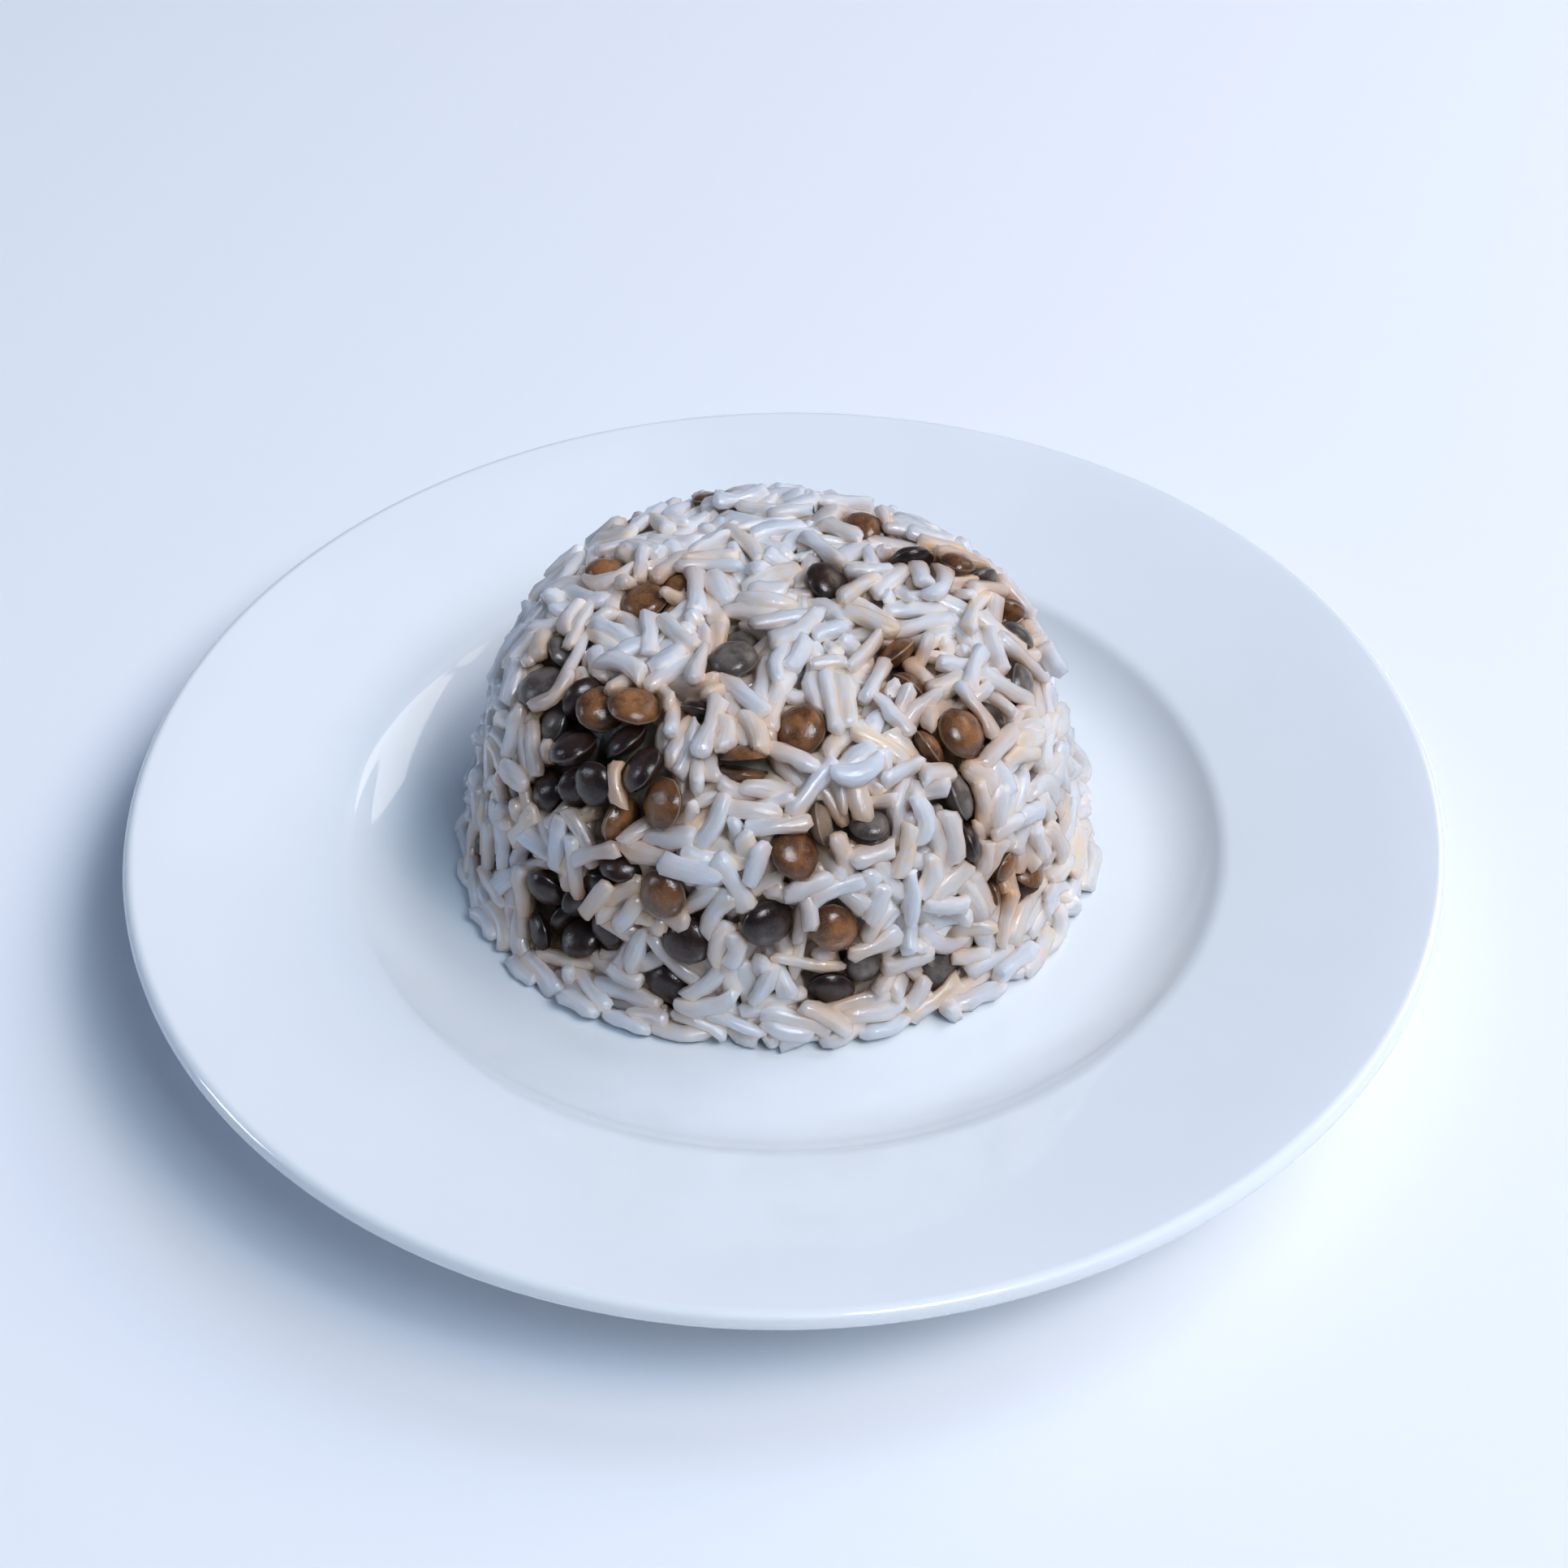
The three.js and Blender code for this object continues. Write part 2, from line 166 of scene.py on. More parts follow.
CLEARANCE = 0.3  # from a lentil's rim, within which the middle of no grain lies over it
COVER_HEIGHT = 6.0  # over a lentil, up to which a grain would hide it
GUARD_HEIGHT = 0.4  # over a lentil's face, kept free of grains
COVERED_DEPTH = 0.7  # lentils that lie deeper than this may be covered
GRAIN_YIELD = 0.25  # share of the overlap that a grain gives way to another grain
PRESS_LIMIT = 0.5  # share of its half width that a grain gives way at most

# ---- How far pieces colour each other, with stain and with painted shade in the gaps, in millimetres ----

SHADE_REACH = 0.8  # over which the gap between two pieces darkens
SHADE_DEPTH = 6.0  # under the mould, where the shade is full
STAIN_REACH = 7.5  # over which a lentil's broth stains the rice
FULL_STAIN = 1.3  # summed closeness of lentils that stains rice fully

# ---- Camera ----

CAMERA_DISTANCE = 380.0
CAMERA_ELEVATION = math.radians(42.43)
CAMERA_ROLL = math.radians(-0.85)
FRAME_PIXELS = 1932
FOCAL_PIXELS = 3215
SENSOR_WIDTH = 36.0
AIM_HEIGHT = 18.2  # just over the plate's lip


def linear(hex_colour):
    """An sRGB colour such as "f2efe8" as linear red, green, blue and alpha."""
    parts = [int(hex_colour[i : i + 2], 16) / 255 for i in (0, 2, 4)]
    return (*[c / 12.92 if c <= 0.04045 else ((c + 0.055) / 1.055) ** 2.4 for c in parts], 1.0)


# ---- Making shapes by hand ----

ON_PLANE = 1e-4  # how near to a plane the points of a pattern lie that belong to it


def select_all():
    bpy.ops.mesh.select_all(action="SELECT")


def edit(piece):
    """Selects one piece alone and opens its mesh for editing, with everything in it selected."""
    if bpy.context.object and bpy.context.object.mode == "EDIT":
        bpy.ops.object.mode_set(mode="OBJECT")
    bpy.ops.object.select_all(action="DESELECT")
    bpy.context.view_layer.objects.active = piece
    piece.select_set(True)
    bpy.ops.object.mode_set(mode="EDIT")
    select_all()


def close_edit():
    bpy.ops.object.mode_set(mode="OBJECT")
    return bpy.context.object


def extrude(*step):
    bpy.ops.mesh.extrude_region_move(TRANSFORM_OT_translate={"value": step})


def move(*step):
    bpy.ops.transform.translate(value=step)


def stretch(*factors, about=(0, 0, 0)):
    bpy.ops.transform.resize(value=factors, center_override=about)


def swing(angle, axis, about=(0, 0, 0)):
    bpy.ops.transform.rotate(value=angle, orient_axis=axis, center_override=about)


def turned(name, outline, steps):
    """A body of revolution about Z from an outline of (radius, height) in millimetres, axis to axis."""
    bpy.ops.object.select_all(action="DESELECT")
    bpy.ops.mesh.primitive_plane_add(size=MM, location=(0, 0, 0))
    piece = bpy.context.object
    piece.name = name
    edit(piece)
    bpy.ops.mesh.merge(type="CENTER")
    first = outline[0]
    move(first[0] * MM, 0, first[1] * MM)
    for (r0, z0), (r1, z1) in zip(outline, outline[1:]):
        extrude((r1 - r0) * MM, 0, (z1 - z0) * MM)
    select_all()
    bpy.ops.mesh.spin(steps=steps, angle=2 * math.pi, center=(0, 0, 0), axis=(0, 0, 1))
    select_all()
    bpy.ops.mesh.remove_doubles(threshold=0.002 * MM)
    bpy.ops.mesh.normals_make_consistent(inside=False)
    return close_edit()


def arc(centre, radius, start, stop, steps):
    """Points of an arc in the (radius, height) half-plane, angles in radians from the outward direction."""
    angles = np.linspace(start, stop, steps + 1)
    return [(centre[0] + radius * math.cos(a), centre[1] + radius * math.sin(a)) for a in angles]


def drawn_out(name, stations, slants):
    """A closed form along X from -1 to 1, drawn through rings of x, half width, half thickness, side shift.

    The rings are squares with cut corners. slants are the turns of the first and last ring, in radians."""
    bpy.ops.object.select_all(action="DESELECT")
    bpy.ops.mesh.primitive_circle_add(vertices=4, radius=math.sqrt(2), location=(0, 0, 0))
    piece = bpy.context.object
    piece.name = name
    edit(piece)
    swing(math.pi / 4, "Z")
    swing(math.pi / 2, "Y")
    bpy.ops.mesh.bevel(offset=RING_CORNER, affect="VERTICES")
    x, width, thickness, shift = stations[0]
    select_all()
    stretch(1, width, thickness)
    move(x, shift, 0)
    extrude(-1 - x, 0, 0)
    bpy.ops.mesh.merge(type="CENTER")
    select_where(piece, lambda co: abs(co.x - x) < ON_PLANE)
    for (x0, w0, t0, s0), (x1, w1, t1, s1) in zip(stations, stations[1:]):
        extrude(x1 - x0, s1 - s0, 0)
        stretch(1, w1 / w0, t1 / t0, about=(x1, s1, 0))
    extrude(1 - stations[-1][0], 0, 0)
    bpy.ops.mesh.merge(type="CENTER")
    for (x, width, thickness, shift), slant in zip((stations[0], stations[-1]), slants):
        select_where(piece, lambda co: abs(co.x - x) < ON_PLANE)
        swing(slant, "Z", about=(x, shift, 0))
    select_all()
    bpy.ops.mesh.normals_make_consistent(inside=False)
    return close_edit()


def select_where(piece, chosen):
    """Opens a piece for editing with only the points selected that a test chooses."""
    edit(piece)
    bpy.ops.mesh.select_all(action="DESELECT")
    bpy.ops.mesh.select_mode(type="VERT")
    bpy.ops.object.mode_set(mode="OBJECT")
    for vertex in piece.data.vertices:
        vertex.select = chosen(vertex.co)
    bpy.ops.object.mode_set(mode="EDIT")


def taken_apart(piece):
    """The vertices and faces of a pattern piece, which is then removed."""
    mesh = piece.data
    points = np.array([v.co for v in mesh.vertices])
    faces = [tuple(p.vertices) for p in mesh.polygons]
    bpy.data.objects.remove(piece)
    return points, faces


# ---- The mould ----


def section(polar):
    """Radius and height of the mould at polar angles in radians."""
    across, along = np.sin(polar), np.maximum(np.cos(polar), 0)
    gauge = (across / MOUND_RADIUS) ** MOUND_SQUARENESS + (along / MOUND_HEIGHT) ** MOUND_SQUARENESS
    reach = gauge ** (-1 / MOUND_SQUARENESS)
    height = reach * along
    return reach * across + SKIRT_FLARE * np.exp(-height / SKIRT_HEIGHT) * across, height


def section_normal(polar):
    """The mould's outward direction, as radius and height, at polar angles in radians."""
    step = 0.01
    r0, z0 = section(np.maximum(polar - step, 0))
    r1, z1 = section(np.minimum(polar + step, math.pi / 2))
    length = np.hypot(r1 - r0, z1 - z0)
    return (z0 - z1) / length, (r1 - r0) / length


def on_mould(azimuth, polar, depth):
    """Places under the mould's surface, in millimetres, and the axes there: round, down and outward."""
    radius, height = section(polar)
    out_r, out_z = section_normal(polar)
    radius, height = radius - out_r * depth, height - out_z * depth
    away = np.stack([np.sin(azimuth), -np.cos(azimuth), np.zeros_like(azimuth)], -1)
    round_ = np.stack([np.cos(azimuth), np.sin(azimuth), np.zeros_like(azimuth)], -1)
    outward = away * out_r[:, None] + np.array([0, 0, 1.0]) * out_z[:, None]
    place = away * radius[:, None] + np.array([0, 0, 1.0]) * height[:, None]
    return MOUND_CENTRE + place, np.stack([round_, np.cross(outward, round_), outward], -1)


def depth_in_mould(place):
    """How deep places lie under the mould's surface, in millimetres, and the outward direction there."""
    from_centre = place - MOUND_CENTRE
    radius = np.maximum(np.hypot(from_centre[:, 0], from_centre[:, 1]), 1e-6)
    height = np.maximum(from_centre[:, 2], 0)
    flare = SKIRT_FLARE * np.exp(-height / SKIRT_HEIGHT)
    across = np.maximum(radius - flare, 1e-3) / MOUND_RADIUS
    along = np.maximum(height, 1e-3) / MOUND_HEIGHT
    gauge = (across**MOUND_SQUARENESS + along**MOUND_SQUARENESS) ** (1 / MOUND_SQUARENESS)
    by_radius = (across / gauge) ** (MOUND_SQUARENESS - 1) / MOUND_RADIUS
    by_height = (along / gauge) ** (MOUND_SQUARENESS - 1) / MOUND_HEIGHT + by_radius * flare / SKIRT_HEIGHT
    slope = np.hypot(by_radius, by_height)
    outward = np.stack(
        [
            by_radius * from_centre[:, 0] / radius / slope,
            by_radius * from_centre[:, 1] / radius / slope,
            by_height / slope,
        ],
        -1,
    )
    return (1 - gauge) / slope, outward


def spread(count, random):
    """Azimuths and polar angles of places spread evenly over the mould, on a golden-angle spiral."""
    polar = np.linspace(0, math.pi / 2, SPREAD_BANDS)
    radius, height = section(polar)
    bands = (radius[1:] + radius[:-1]) / 2 * np.hypot(np.diff(radius), np.diff(height))
    covered = np.concatenate([[0], np.cumsum(bands)]) / bands.sum()
    share = (np.arange(count) + random.uniform(0, 1, count)) / count
    azimuth = np.arange(count) * math.pi * (3 - math.sqrt(5)) + random.uniform(*SPREAD_JITTER, count)
    return np.mod(azimuth + math.pi, 2 * math.pi) - math.pi, np.interp(share, covered, polar)


# ---- Packing ----


def turned_by(axes, angle_vector):
    """Axes turned by rotation vectors."""
    angle = np.linalg.norm(angle_vector, axis=1, keepdims=True)
    about = angle_vector / np.maximum(angle, 1e-9)
    sin, cos = np.sin(angle)[:, :, None], np.cos(angle)[:, :, None]
    along = np.einsum("ni,nij->nj", about, axes)
    crossed = np.cross(about[:, :, None], axes, axisa=1, axisb=1, axisc=1)
    return axes * cos + crossed * sin + about[:, :, None] * along[:, None, :] * (1 - cos)


def neighbours(places, others, reach):
    """Pairs of a place and another place that are less than reach apart, as two arrays of their numbers."""
    low = np.minimum(places.min(0), others.min(0)) - reach
    size = np.floor((np.maximum(places.max(0), others.max(0)) - low) / reach).astype(np.int64) + 3

    def cell_number(points):
        cell = np.floor((points - low) / reach).astype(np.int64)
        return (cell[:, 0] * size[1] + cell[:, 1]) * size[2] + cell[:, 2]

    own, theirs = cell_number(places), cell_number(others)
    order = np.argsort(theirs, kind="stable")
    ranked = theirs[order]
    firsts, seconds = [], []
    for dx, dy, dz in itertools.product((-1, 0, 1), repeat=3):
        wanted = own + (dx * size[1] + dy) * size[2] + dz
        start = np.searchsorted(ranked, wanted, "left")
        count = np.searchsorted(ranked, wanted, "right") - start
        first = np.repeat(np.arange(len(own)), count)
        second = order[np.arange(count.sum()) + np.repeat(start - np.cumsum(count) + count, count)]
        near = ((places[first] - others[second]) ** 2).sum(1) < reach**2
        firsts.append(first[near])
        seconds.append(second[near])
    return np.concatenate(firsts), np.concatenate(seconds)


def settle(centre, axes, balls, radius, owner, proud, give, fall):
    """Pushes pieces, each a rigid set of balls, apart inside the mould until they barely press.

    proud is how far each piece may stand out of the mould, give how freely it moves, from 0 to 1, and fall
    how far it drops in a step."""
    count = len(centre)

    def summed(values):
        return np.stack([np.bincount(owner, values[:, k], count) for k in range(3)], -1)

    for step in range(SETTLING_STEPS):
        arm = np.einsum("nij,nj->ni", axes[owner], balls)
        place = centre[owner] + arm
        if step % LOOKUP_STEPS == 0:
            first, second = neighbours(place, place, 2 * radius.max() + LOOKUP_MARGIN)
            keep = (first < second) & (owner[first] != owner[second])
            first, second = first[keep], second[keep]
        apart = place[first] - place[second]
        distance = np.maximum(np.linalg.norm(apart, axis=1), 1e-6)
        overlap = radius[first] + radius[second] - distance
        hit = overlap > 0
        a, b = first[hit], second[hit]
        share = give[owner[a]] / (give[owner[a]] + give[owner[b]])
        way = apart[hit] / distance[hit, None] * overlap[hit, None]
        push = np.zeros_like(place)
        for axis in range(3):
            push[:, axis] += np.bincount(a, way[:, axis] * share, len(place))
            push[:, axis] -= np.bincount(b, way[:, axis] * (1 - share), len(place))
        depth, outward = depth_in_mould(place)
        out = np.maximum(radius - depth - proud[owner], 0)
        low = np.maximum(FLOOR_HEIGHT + radius / SOFTNESS + FLOOR_GAP - place[:, 2], 0)
        push -= outward * (out * PUSH_BACK)[:, None]
        push[:, 2] += low * PUSH_BACK
        touches = np.bincount(a, minlength=len(place)) + np.bincount(b, minlength=len(place))
        touches = touches + (out > 0) + (low > 0)
        move = summed(push) / np.maximum(np.bincount(owner, touches, count), 1)[:, None] * STRIDE
        inertia = np.bincount(owner, (arm**2).sum(1) * np.maximum(touches, IDLE_TOUCHES), count)
        spin = summed(np.cross(arm, push)) / np.maximum(inertia, 1)[:, None] * SWING
        drift = summed(outward) / np.bincount(owner, minlength=count)[:, None]
        squeeze = SQUEEZE * max(0, 1 - step / (SQUEEZE_END * SETTLING_STEPS))
        move += drift * (squeeze * (fall == 0))[:, None]
        move[:, 2] -= fall
        centre = centre + move * np.minimum(1, give / FULL_GIVE)[:, None]
        axes = turned_by(axes, np.clip(spin, -LARGEST_SWING, LARGEST_SWING) * give[:, None])
    return centre, axes


def bent(points, half_length, bend):
    """Points along X bent to one side: bend is how far the ends lean, against the whole length."""
    moved = points.copy()
    moved[..., 1] += bend * 2 * half_length * (BEND_PIVOT - (points[..., 0] / half_length) ** 2)
    return moved


# ---- Materials ----


def put(tree, kind, sockets=None, **settings):
    """Adds a node with its settings. Each socket is given a value, a node to read, or a node's output."""
    node = tree.nodes.new("ShaderNode" + kind)
    for name, value in settings.items():
        setattr(node, name, value)
    for name, value in (sockets or {}).items():
        socket = next(s for s in node.inputs if s.enabled and s.name == name)
        if isinstance(value, bpy.types.Node):
            value = next(s for s in value.outputs if s.enabled)
        if isinstance(value, bpy.types.NodeSocket):
            tree.links.new(value, socket)
        else:
            socket.default_value = value
    return node


def new_material(name):
    material = bpy.data.materials.new(name)
    material.use_nodes = True
    material.node_tree.nodes.clear()
    return material, material.node_tree


def glazed_porcelain():
    """White porcelain under a clear fired glaze: a bright diffuse body and a sharp, slightly wavy gloss."""
    material, tree = new_material("glazed_porcelain")
    place = put(tree, "TexCoord").outputs["Object"]
    wave = put(tree, "TexNoise", {"Vector": place, "Scale": 1 / (14 * MM), "Detail": 1.0})
    shade = put(tree, "TexNoise", {"Vector": place, "Scale": 1 / (30 * MM), "Detail": 2.0})
    white = {"Factor": shade, "A": linear("e2e7eb"), "B": linear("eaeef1")}
    glaze = {
        "Base Color": put(tree, "Mix", white, data_type="RGBA"),
        "Roughness": 0.5,
        "IOR": 1.5,
        "Coat Weight": 1.0,
        "Coat Roughness": 0.05,
        "Coat IOR": 1.5,
        "Coat Normal": put(tree, "Bump", {"Height": wave, "Strength": 0.06, "Distance": 0.2 * MM}),
    }
    put(tree, "OutputMaterial", {"Surface": put(tree, "BsdfPrincipled", glaze)})
    return material


def boiled_rice():
    """Boiled long-grain rice: starch gel, soft and translucent, tanned by the lentils, under a wet film,
    with painted shade in the crevices between the grains and deeper under the surface.
    """
    material, tree = new_material("cooked_rice_grain")
    place = put(tree, "TexCoord").outputs["Object"]
    values = ("tint", "depth", "near", "stain")
    tint, depth, near, stained = (put(tree, "Attribute", attribute_name=v).outputs["Fac"] for v in values)
    lengthwise = put(tree, "Attribute", attribute_name="lengthwise").outputs["Vector"]
    cloud = put(tree, "TexNoise", {"Vector": place, "Scale": 1 / (2.2 * MM), "Detail": 2.0})
    ridges = put(tree, "TexNoise", {"Vector": lengthwise, "Scale": 1 / 0.9, "Detail": 2.0})
    # Beads of water are finer than this, and are drawn as coarse as it takes for them to show.
    water = {"Vector": place, "Scale": 1 / (0.45 * MM), "Detail": 2.0, "Roughness": 0.7}
    beads = put(tree, "TexNoise", water)

    whole = {"Factor": tint, "A": linear("bcc3ce"), "B": linear("d2bca2")}
    outer = put(tree, "Mix", whole, data_type="RGBA")
    opaque = put(tree, "MapRange", {"Value": cloud, "From Min": 0.35, "From Max": 0.7})
    clouded = put(tree, "Mix", {"Factor": opaque, "A": outer, "B": linear("c4c7cd")}, data_type="RGBA")
    broth = put(tree, "MapRange", {"Value": stained, "To Max": 0.9})
    tanned = put(tree, "Mix", {"Factor": broth, "A": clouded, "B": linear("b58a60")}, data_type="RGBA")
    # Where grains touch, the rice is painted warm tan, darker round the lentils: painted crevice shade,
    # standing in for the shade between the grains and the light that passes through them.
    inner = {"Factor": stained, "A": linear("d8c3ad"), "B": linear("b4895f")}
    painted_shade_colour = put(tree, "Mix", inner, data_type="RGBA")
    painted_crevice_shade = put(tree, "MapRange", {"Value": near, "To Max": 0.6})
    pressed = put(tree, "Mix", {"Factor": painted_crevice_shade, "A": tanned, "B": painted_shade_colour}, data_type="RGBA")
    # Deeper under the mould's surface, the same painted shade takes over.
    painted_depth_shade = put(tree, "MapRange", {"Value": depth, "From Min": 0.22})
    base = put(tree, "Mix", {"Factor": painted_depth_shade, "A": pressed, "B": painted_shade_colour}, data_type="RGBA")

    dents = put(tree, "Bump", {"Height": ridges, "Strength": 0.5, "Distance": 0.5 * MM})
    frost = {"Height": beads, "Strength": 0.5, "Distance": 0.05 * MM, "Normal": dents}
    gel = {
        "Base Color": base,
        "Subsurface Weight": 1.0,
        "Subsurface Radius": (1.0, 0.85, 0.7),
        "Subsurface Scale": 2.4 * MM,
        "Roughness": 0.4,
        "IOR": 1.4,
        "Coat Weight": 0.8,
        "Coat Roughness": 0.1,
        "Coat IOR": 1.4,
        "Coat Normal": put(tree, "Bump", {"Height": beads, "Strength": 1.0, "Distance": 0.1 * MM}),
        "Normal": put(tree, "Bump", frost),
    }
    shader = put(tree, "BsdfPrincipled", gel, subsurface_method="BURLEY")
    put(tree, "OutputMaterial", {"Surface": shader})
    return material


def boiled_lentil(name, face, blotch_and_shade_colour, keel, roughness, film_roughness):
    """A boiled lentil in its seed coat: smooth, wet and mottled, with painted shade darker to the edge, and
    a pale keel line that is partly its own rim and partly a painted highlight.
    """
    material, tree = new_material(name)
    place = put(tree, "TexCoord").outputs["Object"]
    values = ("edge", "keel", "tint")
    edge, on_keel, tint = (put(tree, "Attribute", attribute_name=v).outputs["Fac"] for v in values)
    mottle = {"Vector": place, "Scale": 1 / (2.4 * MM), "Detail": 3.0, "Roughness": 0.55}
    # The specks of a coat are finer than this, and are drawn as coarse as it takes for them to show.
    dust = {"Vector": place, "Scale": 1 / (0.3 * MM), "Detail": 3.0, "Roughness": 0.7}
    blot, speck = put(tree, "TexNoise", mottle), put(tree, "TexNoise", dust)
    layers = (
        ({"Value": blot, "From Min": 0.42, "From Max": 0.62, "To Max": 0.75}, blotch_and_shade_colour),
        ({"Value": tint, "To Max": 0.6}, blotch_and_shade_colour),
        ({"Value": speck, "From Min": 0.5, "From Max": 0.75, "To Max": 0.3}, keel),
        # Darker towards the rim: painted shade, in the blotch colour.
        ({"Value": edge, "To Max": 0.8}, blotch_and_shade_colour),
        # The pale keel line is partly the seed's own pale rim and partly a painted highlight.
        ({"Value": on_keel, "To Max": 0.45}, keel),
    )
    coat = linear(face)
    for amount, colour in layers:
        share = put(tree, "MapRange", amount)
        coat = put(tree, "Mix", {"Factor": share, "A": coat, "B": linear(colour)}, data_type="RGBA")
    bump = put(tree, "Bump", {"Height": speck, "Strength": 0.6, "Distance": 0.08 * MM})
    skin = {
        "Base Color": coat,
        "Subsurface Weight": 0.1,
        "Subsurface Radius": (1.0, 0.5, 0.25),
        "Subsurface Scale": 0.5 * MM,
        "Roughness": roughness,
        "IOR": 1.4,
        "Specular IOR Level": 0.15,
        "Coat Weight": 1.0,
        "Coat Roughness": film_roughness,
        "Coat IOR": 1.4,
        "Coat Normal": bump,
        "Normal": bump,
    }
    put(tree, "OutputMaterial", {"Surface": put(tree, "BsdfPrincipled", skin)})
    return material


def crumb_with_painted_shade():
    """What shows between the grains: starch and broken rice, painted near black round the lentils as the
    shade of the deep gaps there.
    """
    material, tree = new_material("crumb_with_painted_shade")
    place = put(tree, "TexCoord").outputs["Object"]
    stained = put(tree, "Attribute", attribute_name="stain").outputs["Fac"]
    blot = put(tree, "TexNoise", {"Vector": place, "Scale": 1 / (2.0 * MM), "Detail": 3.0})
    starch = {"Factor": blot, "A": linear("c2a682"), "B": linear("dcc6aa")}
    paste = put(tree, "Mix", starch, data_type="RGBA")
    # Round the lentils, the crumb is painted near black: painted shade in the deep gaps there.
    painted_gap_shade = put(tree, "MapRange", {"Value": stained, "From Min": 0.25, "From Max": 0.75})
    broth = {"Factor": painted_gap_shade, "A": paste, "B": linear("1c0d09")}
    crumb = {
        "Base Color": put(tree, "Mix", broth, data_type="RGBA"),
        "Roughness": 0.5,
        "Normal": put(tree, "Bump", {"Height": blot, "Strength": 0.6, "Distance": 0.6 * MM}),
    }
    put(tree, "OutputMaterial", {"Surface": put(tree, "BsdfPrincipled", crumb)})
    return material


def table_top():
    """A painted board: pale, even and matt."""
    material, tree = new_material("table_top")
    paint = {"Base Color": linear("eceef2"), "Roughness": 0.55, "IOR": 1.45}
    put(tree, "OutputMaterial", {"Surface": put(tree, "BsdfPrincipled", paint)})
    return material


# ---- Plate ----


def plate_outline():
    """The plate's section, from the middle of its face over the lip to the middle of its underside."""
    up, down = math.pi / 2, -math.pi / 2
    cove_centre = (FLOOR_RADIUS, FLOOR_HEIGHT + COVE_RADIUS)
    cove = arc(cove_centre, COVE_RADIUS, down, down + COVE_SWEEP, ARC_STEPS["cove"])
    wall = cove[-1]
    shoulder_centre = (
        wall[0] + SHOULDER_RADIUS * math.sin(COVE_SWEEP),
        wall[1] - SHOULDER_RADIUS * math.cos(COVE_SWEEP),
    )
    shoulder = arc(shoulder_centre, SHOULDER_RADIUS, up + COVE_SWEEP, up + RIM_SLOPE, ARC_STEPS["shoulder"])
    rim_start = shoulder[-1]
    lip_radius = PLATE_RADIUS - LIP_RADIUS
    rim_run = lip_radius - LIP_RADIUS * math.sin(RIM_SLOPE) - rim_start[0]
    rim_end = (rim_start[0] + rim_run, rim_start[1] + rim_run * math.tan(RIM_SLOPE))
    rim = [tuple(np.array(rim_start) + (np.array(rim_end) - rim_start) * t) for t in (0.25, 0.5, 0.75)]
    lip_centre = (lip_radius, rim_end[1] - LIP_RADIUS * math.cos(RIM_SLOPE))
    lip = arc(lip_centre, LIP_RADIUS, up + RIM_SLOPE, down + RIM_SLOPE, ARC_STEPS["lip"])

    def under_rim(radius):
        return lip[-1][1] - (lip[-1][0] - radius) * math.tan(UNDER_SLOPE)

    turn = (UNDER_TURN, under_rim(UNDER_TURN))
    under = [(UNDER_MIDDLE, under_rim(UNDER_MIDDLE))]
    under += [(turn[0] + TURN_START[0], turn[1] + TURN_START[1]), turn, *UNDER_WALL]
    foot = arc((FOOT_OUTER_RADIUS - FOOT_EDGE, FOOT_EDGE), FOOT_EDGE, 0, down, ARC_STEPS["foot"])
    foot += [((FOOT_OUTER_RADIUS + FOOT_INNER_RADIUS) / 2, 0.0)]
    foot += arc((FOOT_INNER_RADIUS + FOOT_EDGE, FOOT_EDGE), FOOT_EDGE, down, 2 * down, ARC_STEPS["foot"])
    start = [(0.0, FLOOR_HEIGHT), (FLOOR_RADIUS / 2, FLOOR_HEIGHT)]
    return start + cove + shoulder[1:] + rim + lip + under + foot + list(FOOT_INNER_WALL)


def make_plate():
    plate = turned("porcelain_plate", plate_outline(), PLATE_STEPS)
    bpy.ops.object.shade_smooth_by_angle(angle=SHARP_EDGE)
    plate.data.materials.append(glazed_porcelain())
    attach(plate, "root")
    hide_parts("plate")


# ---- Rice and lentils ----

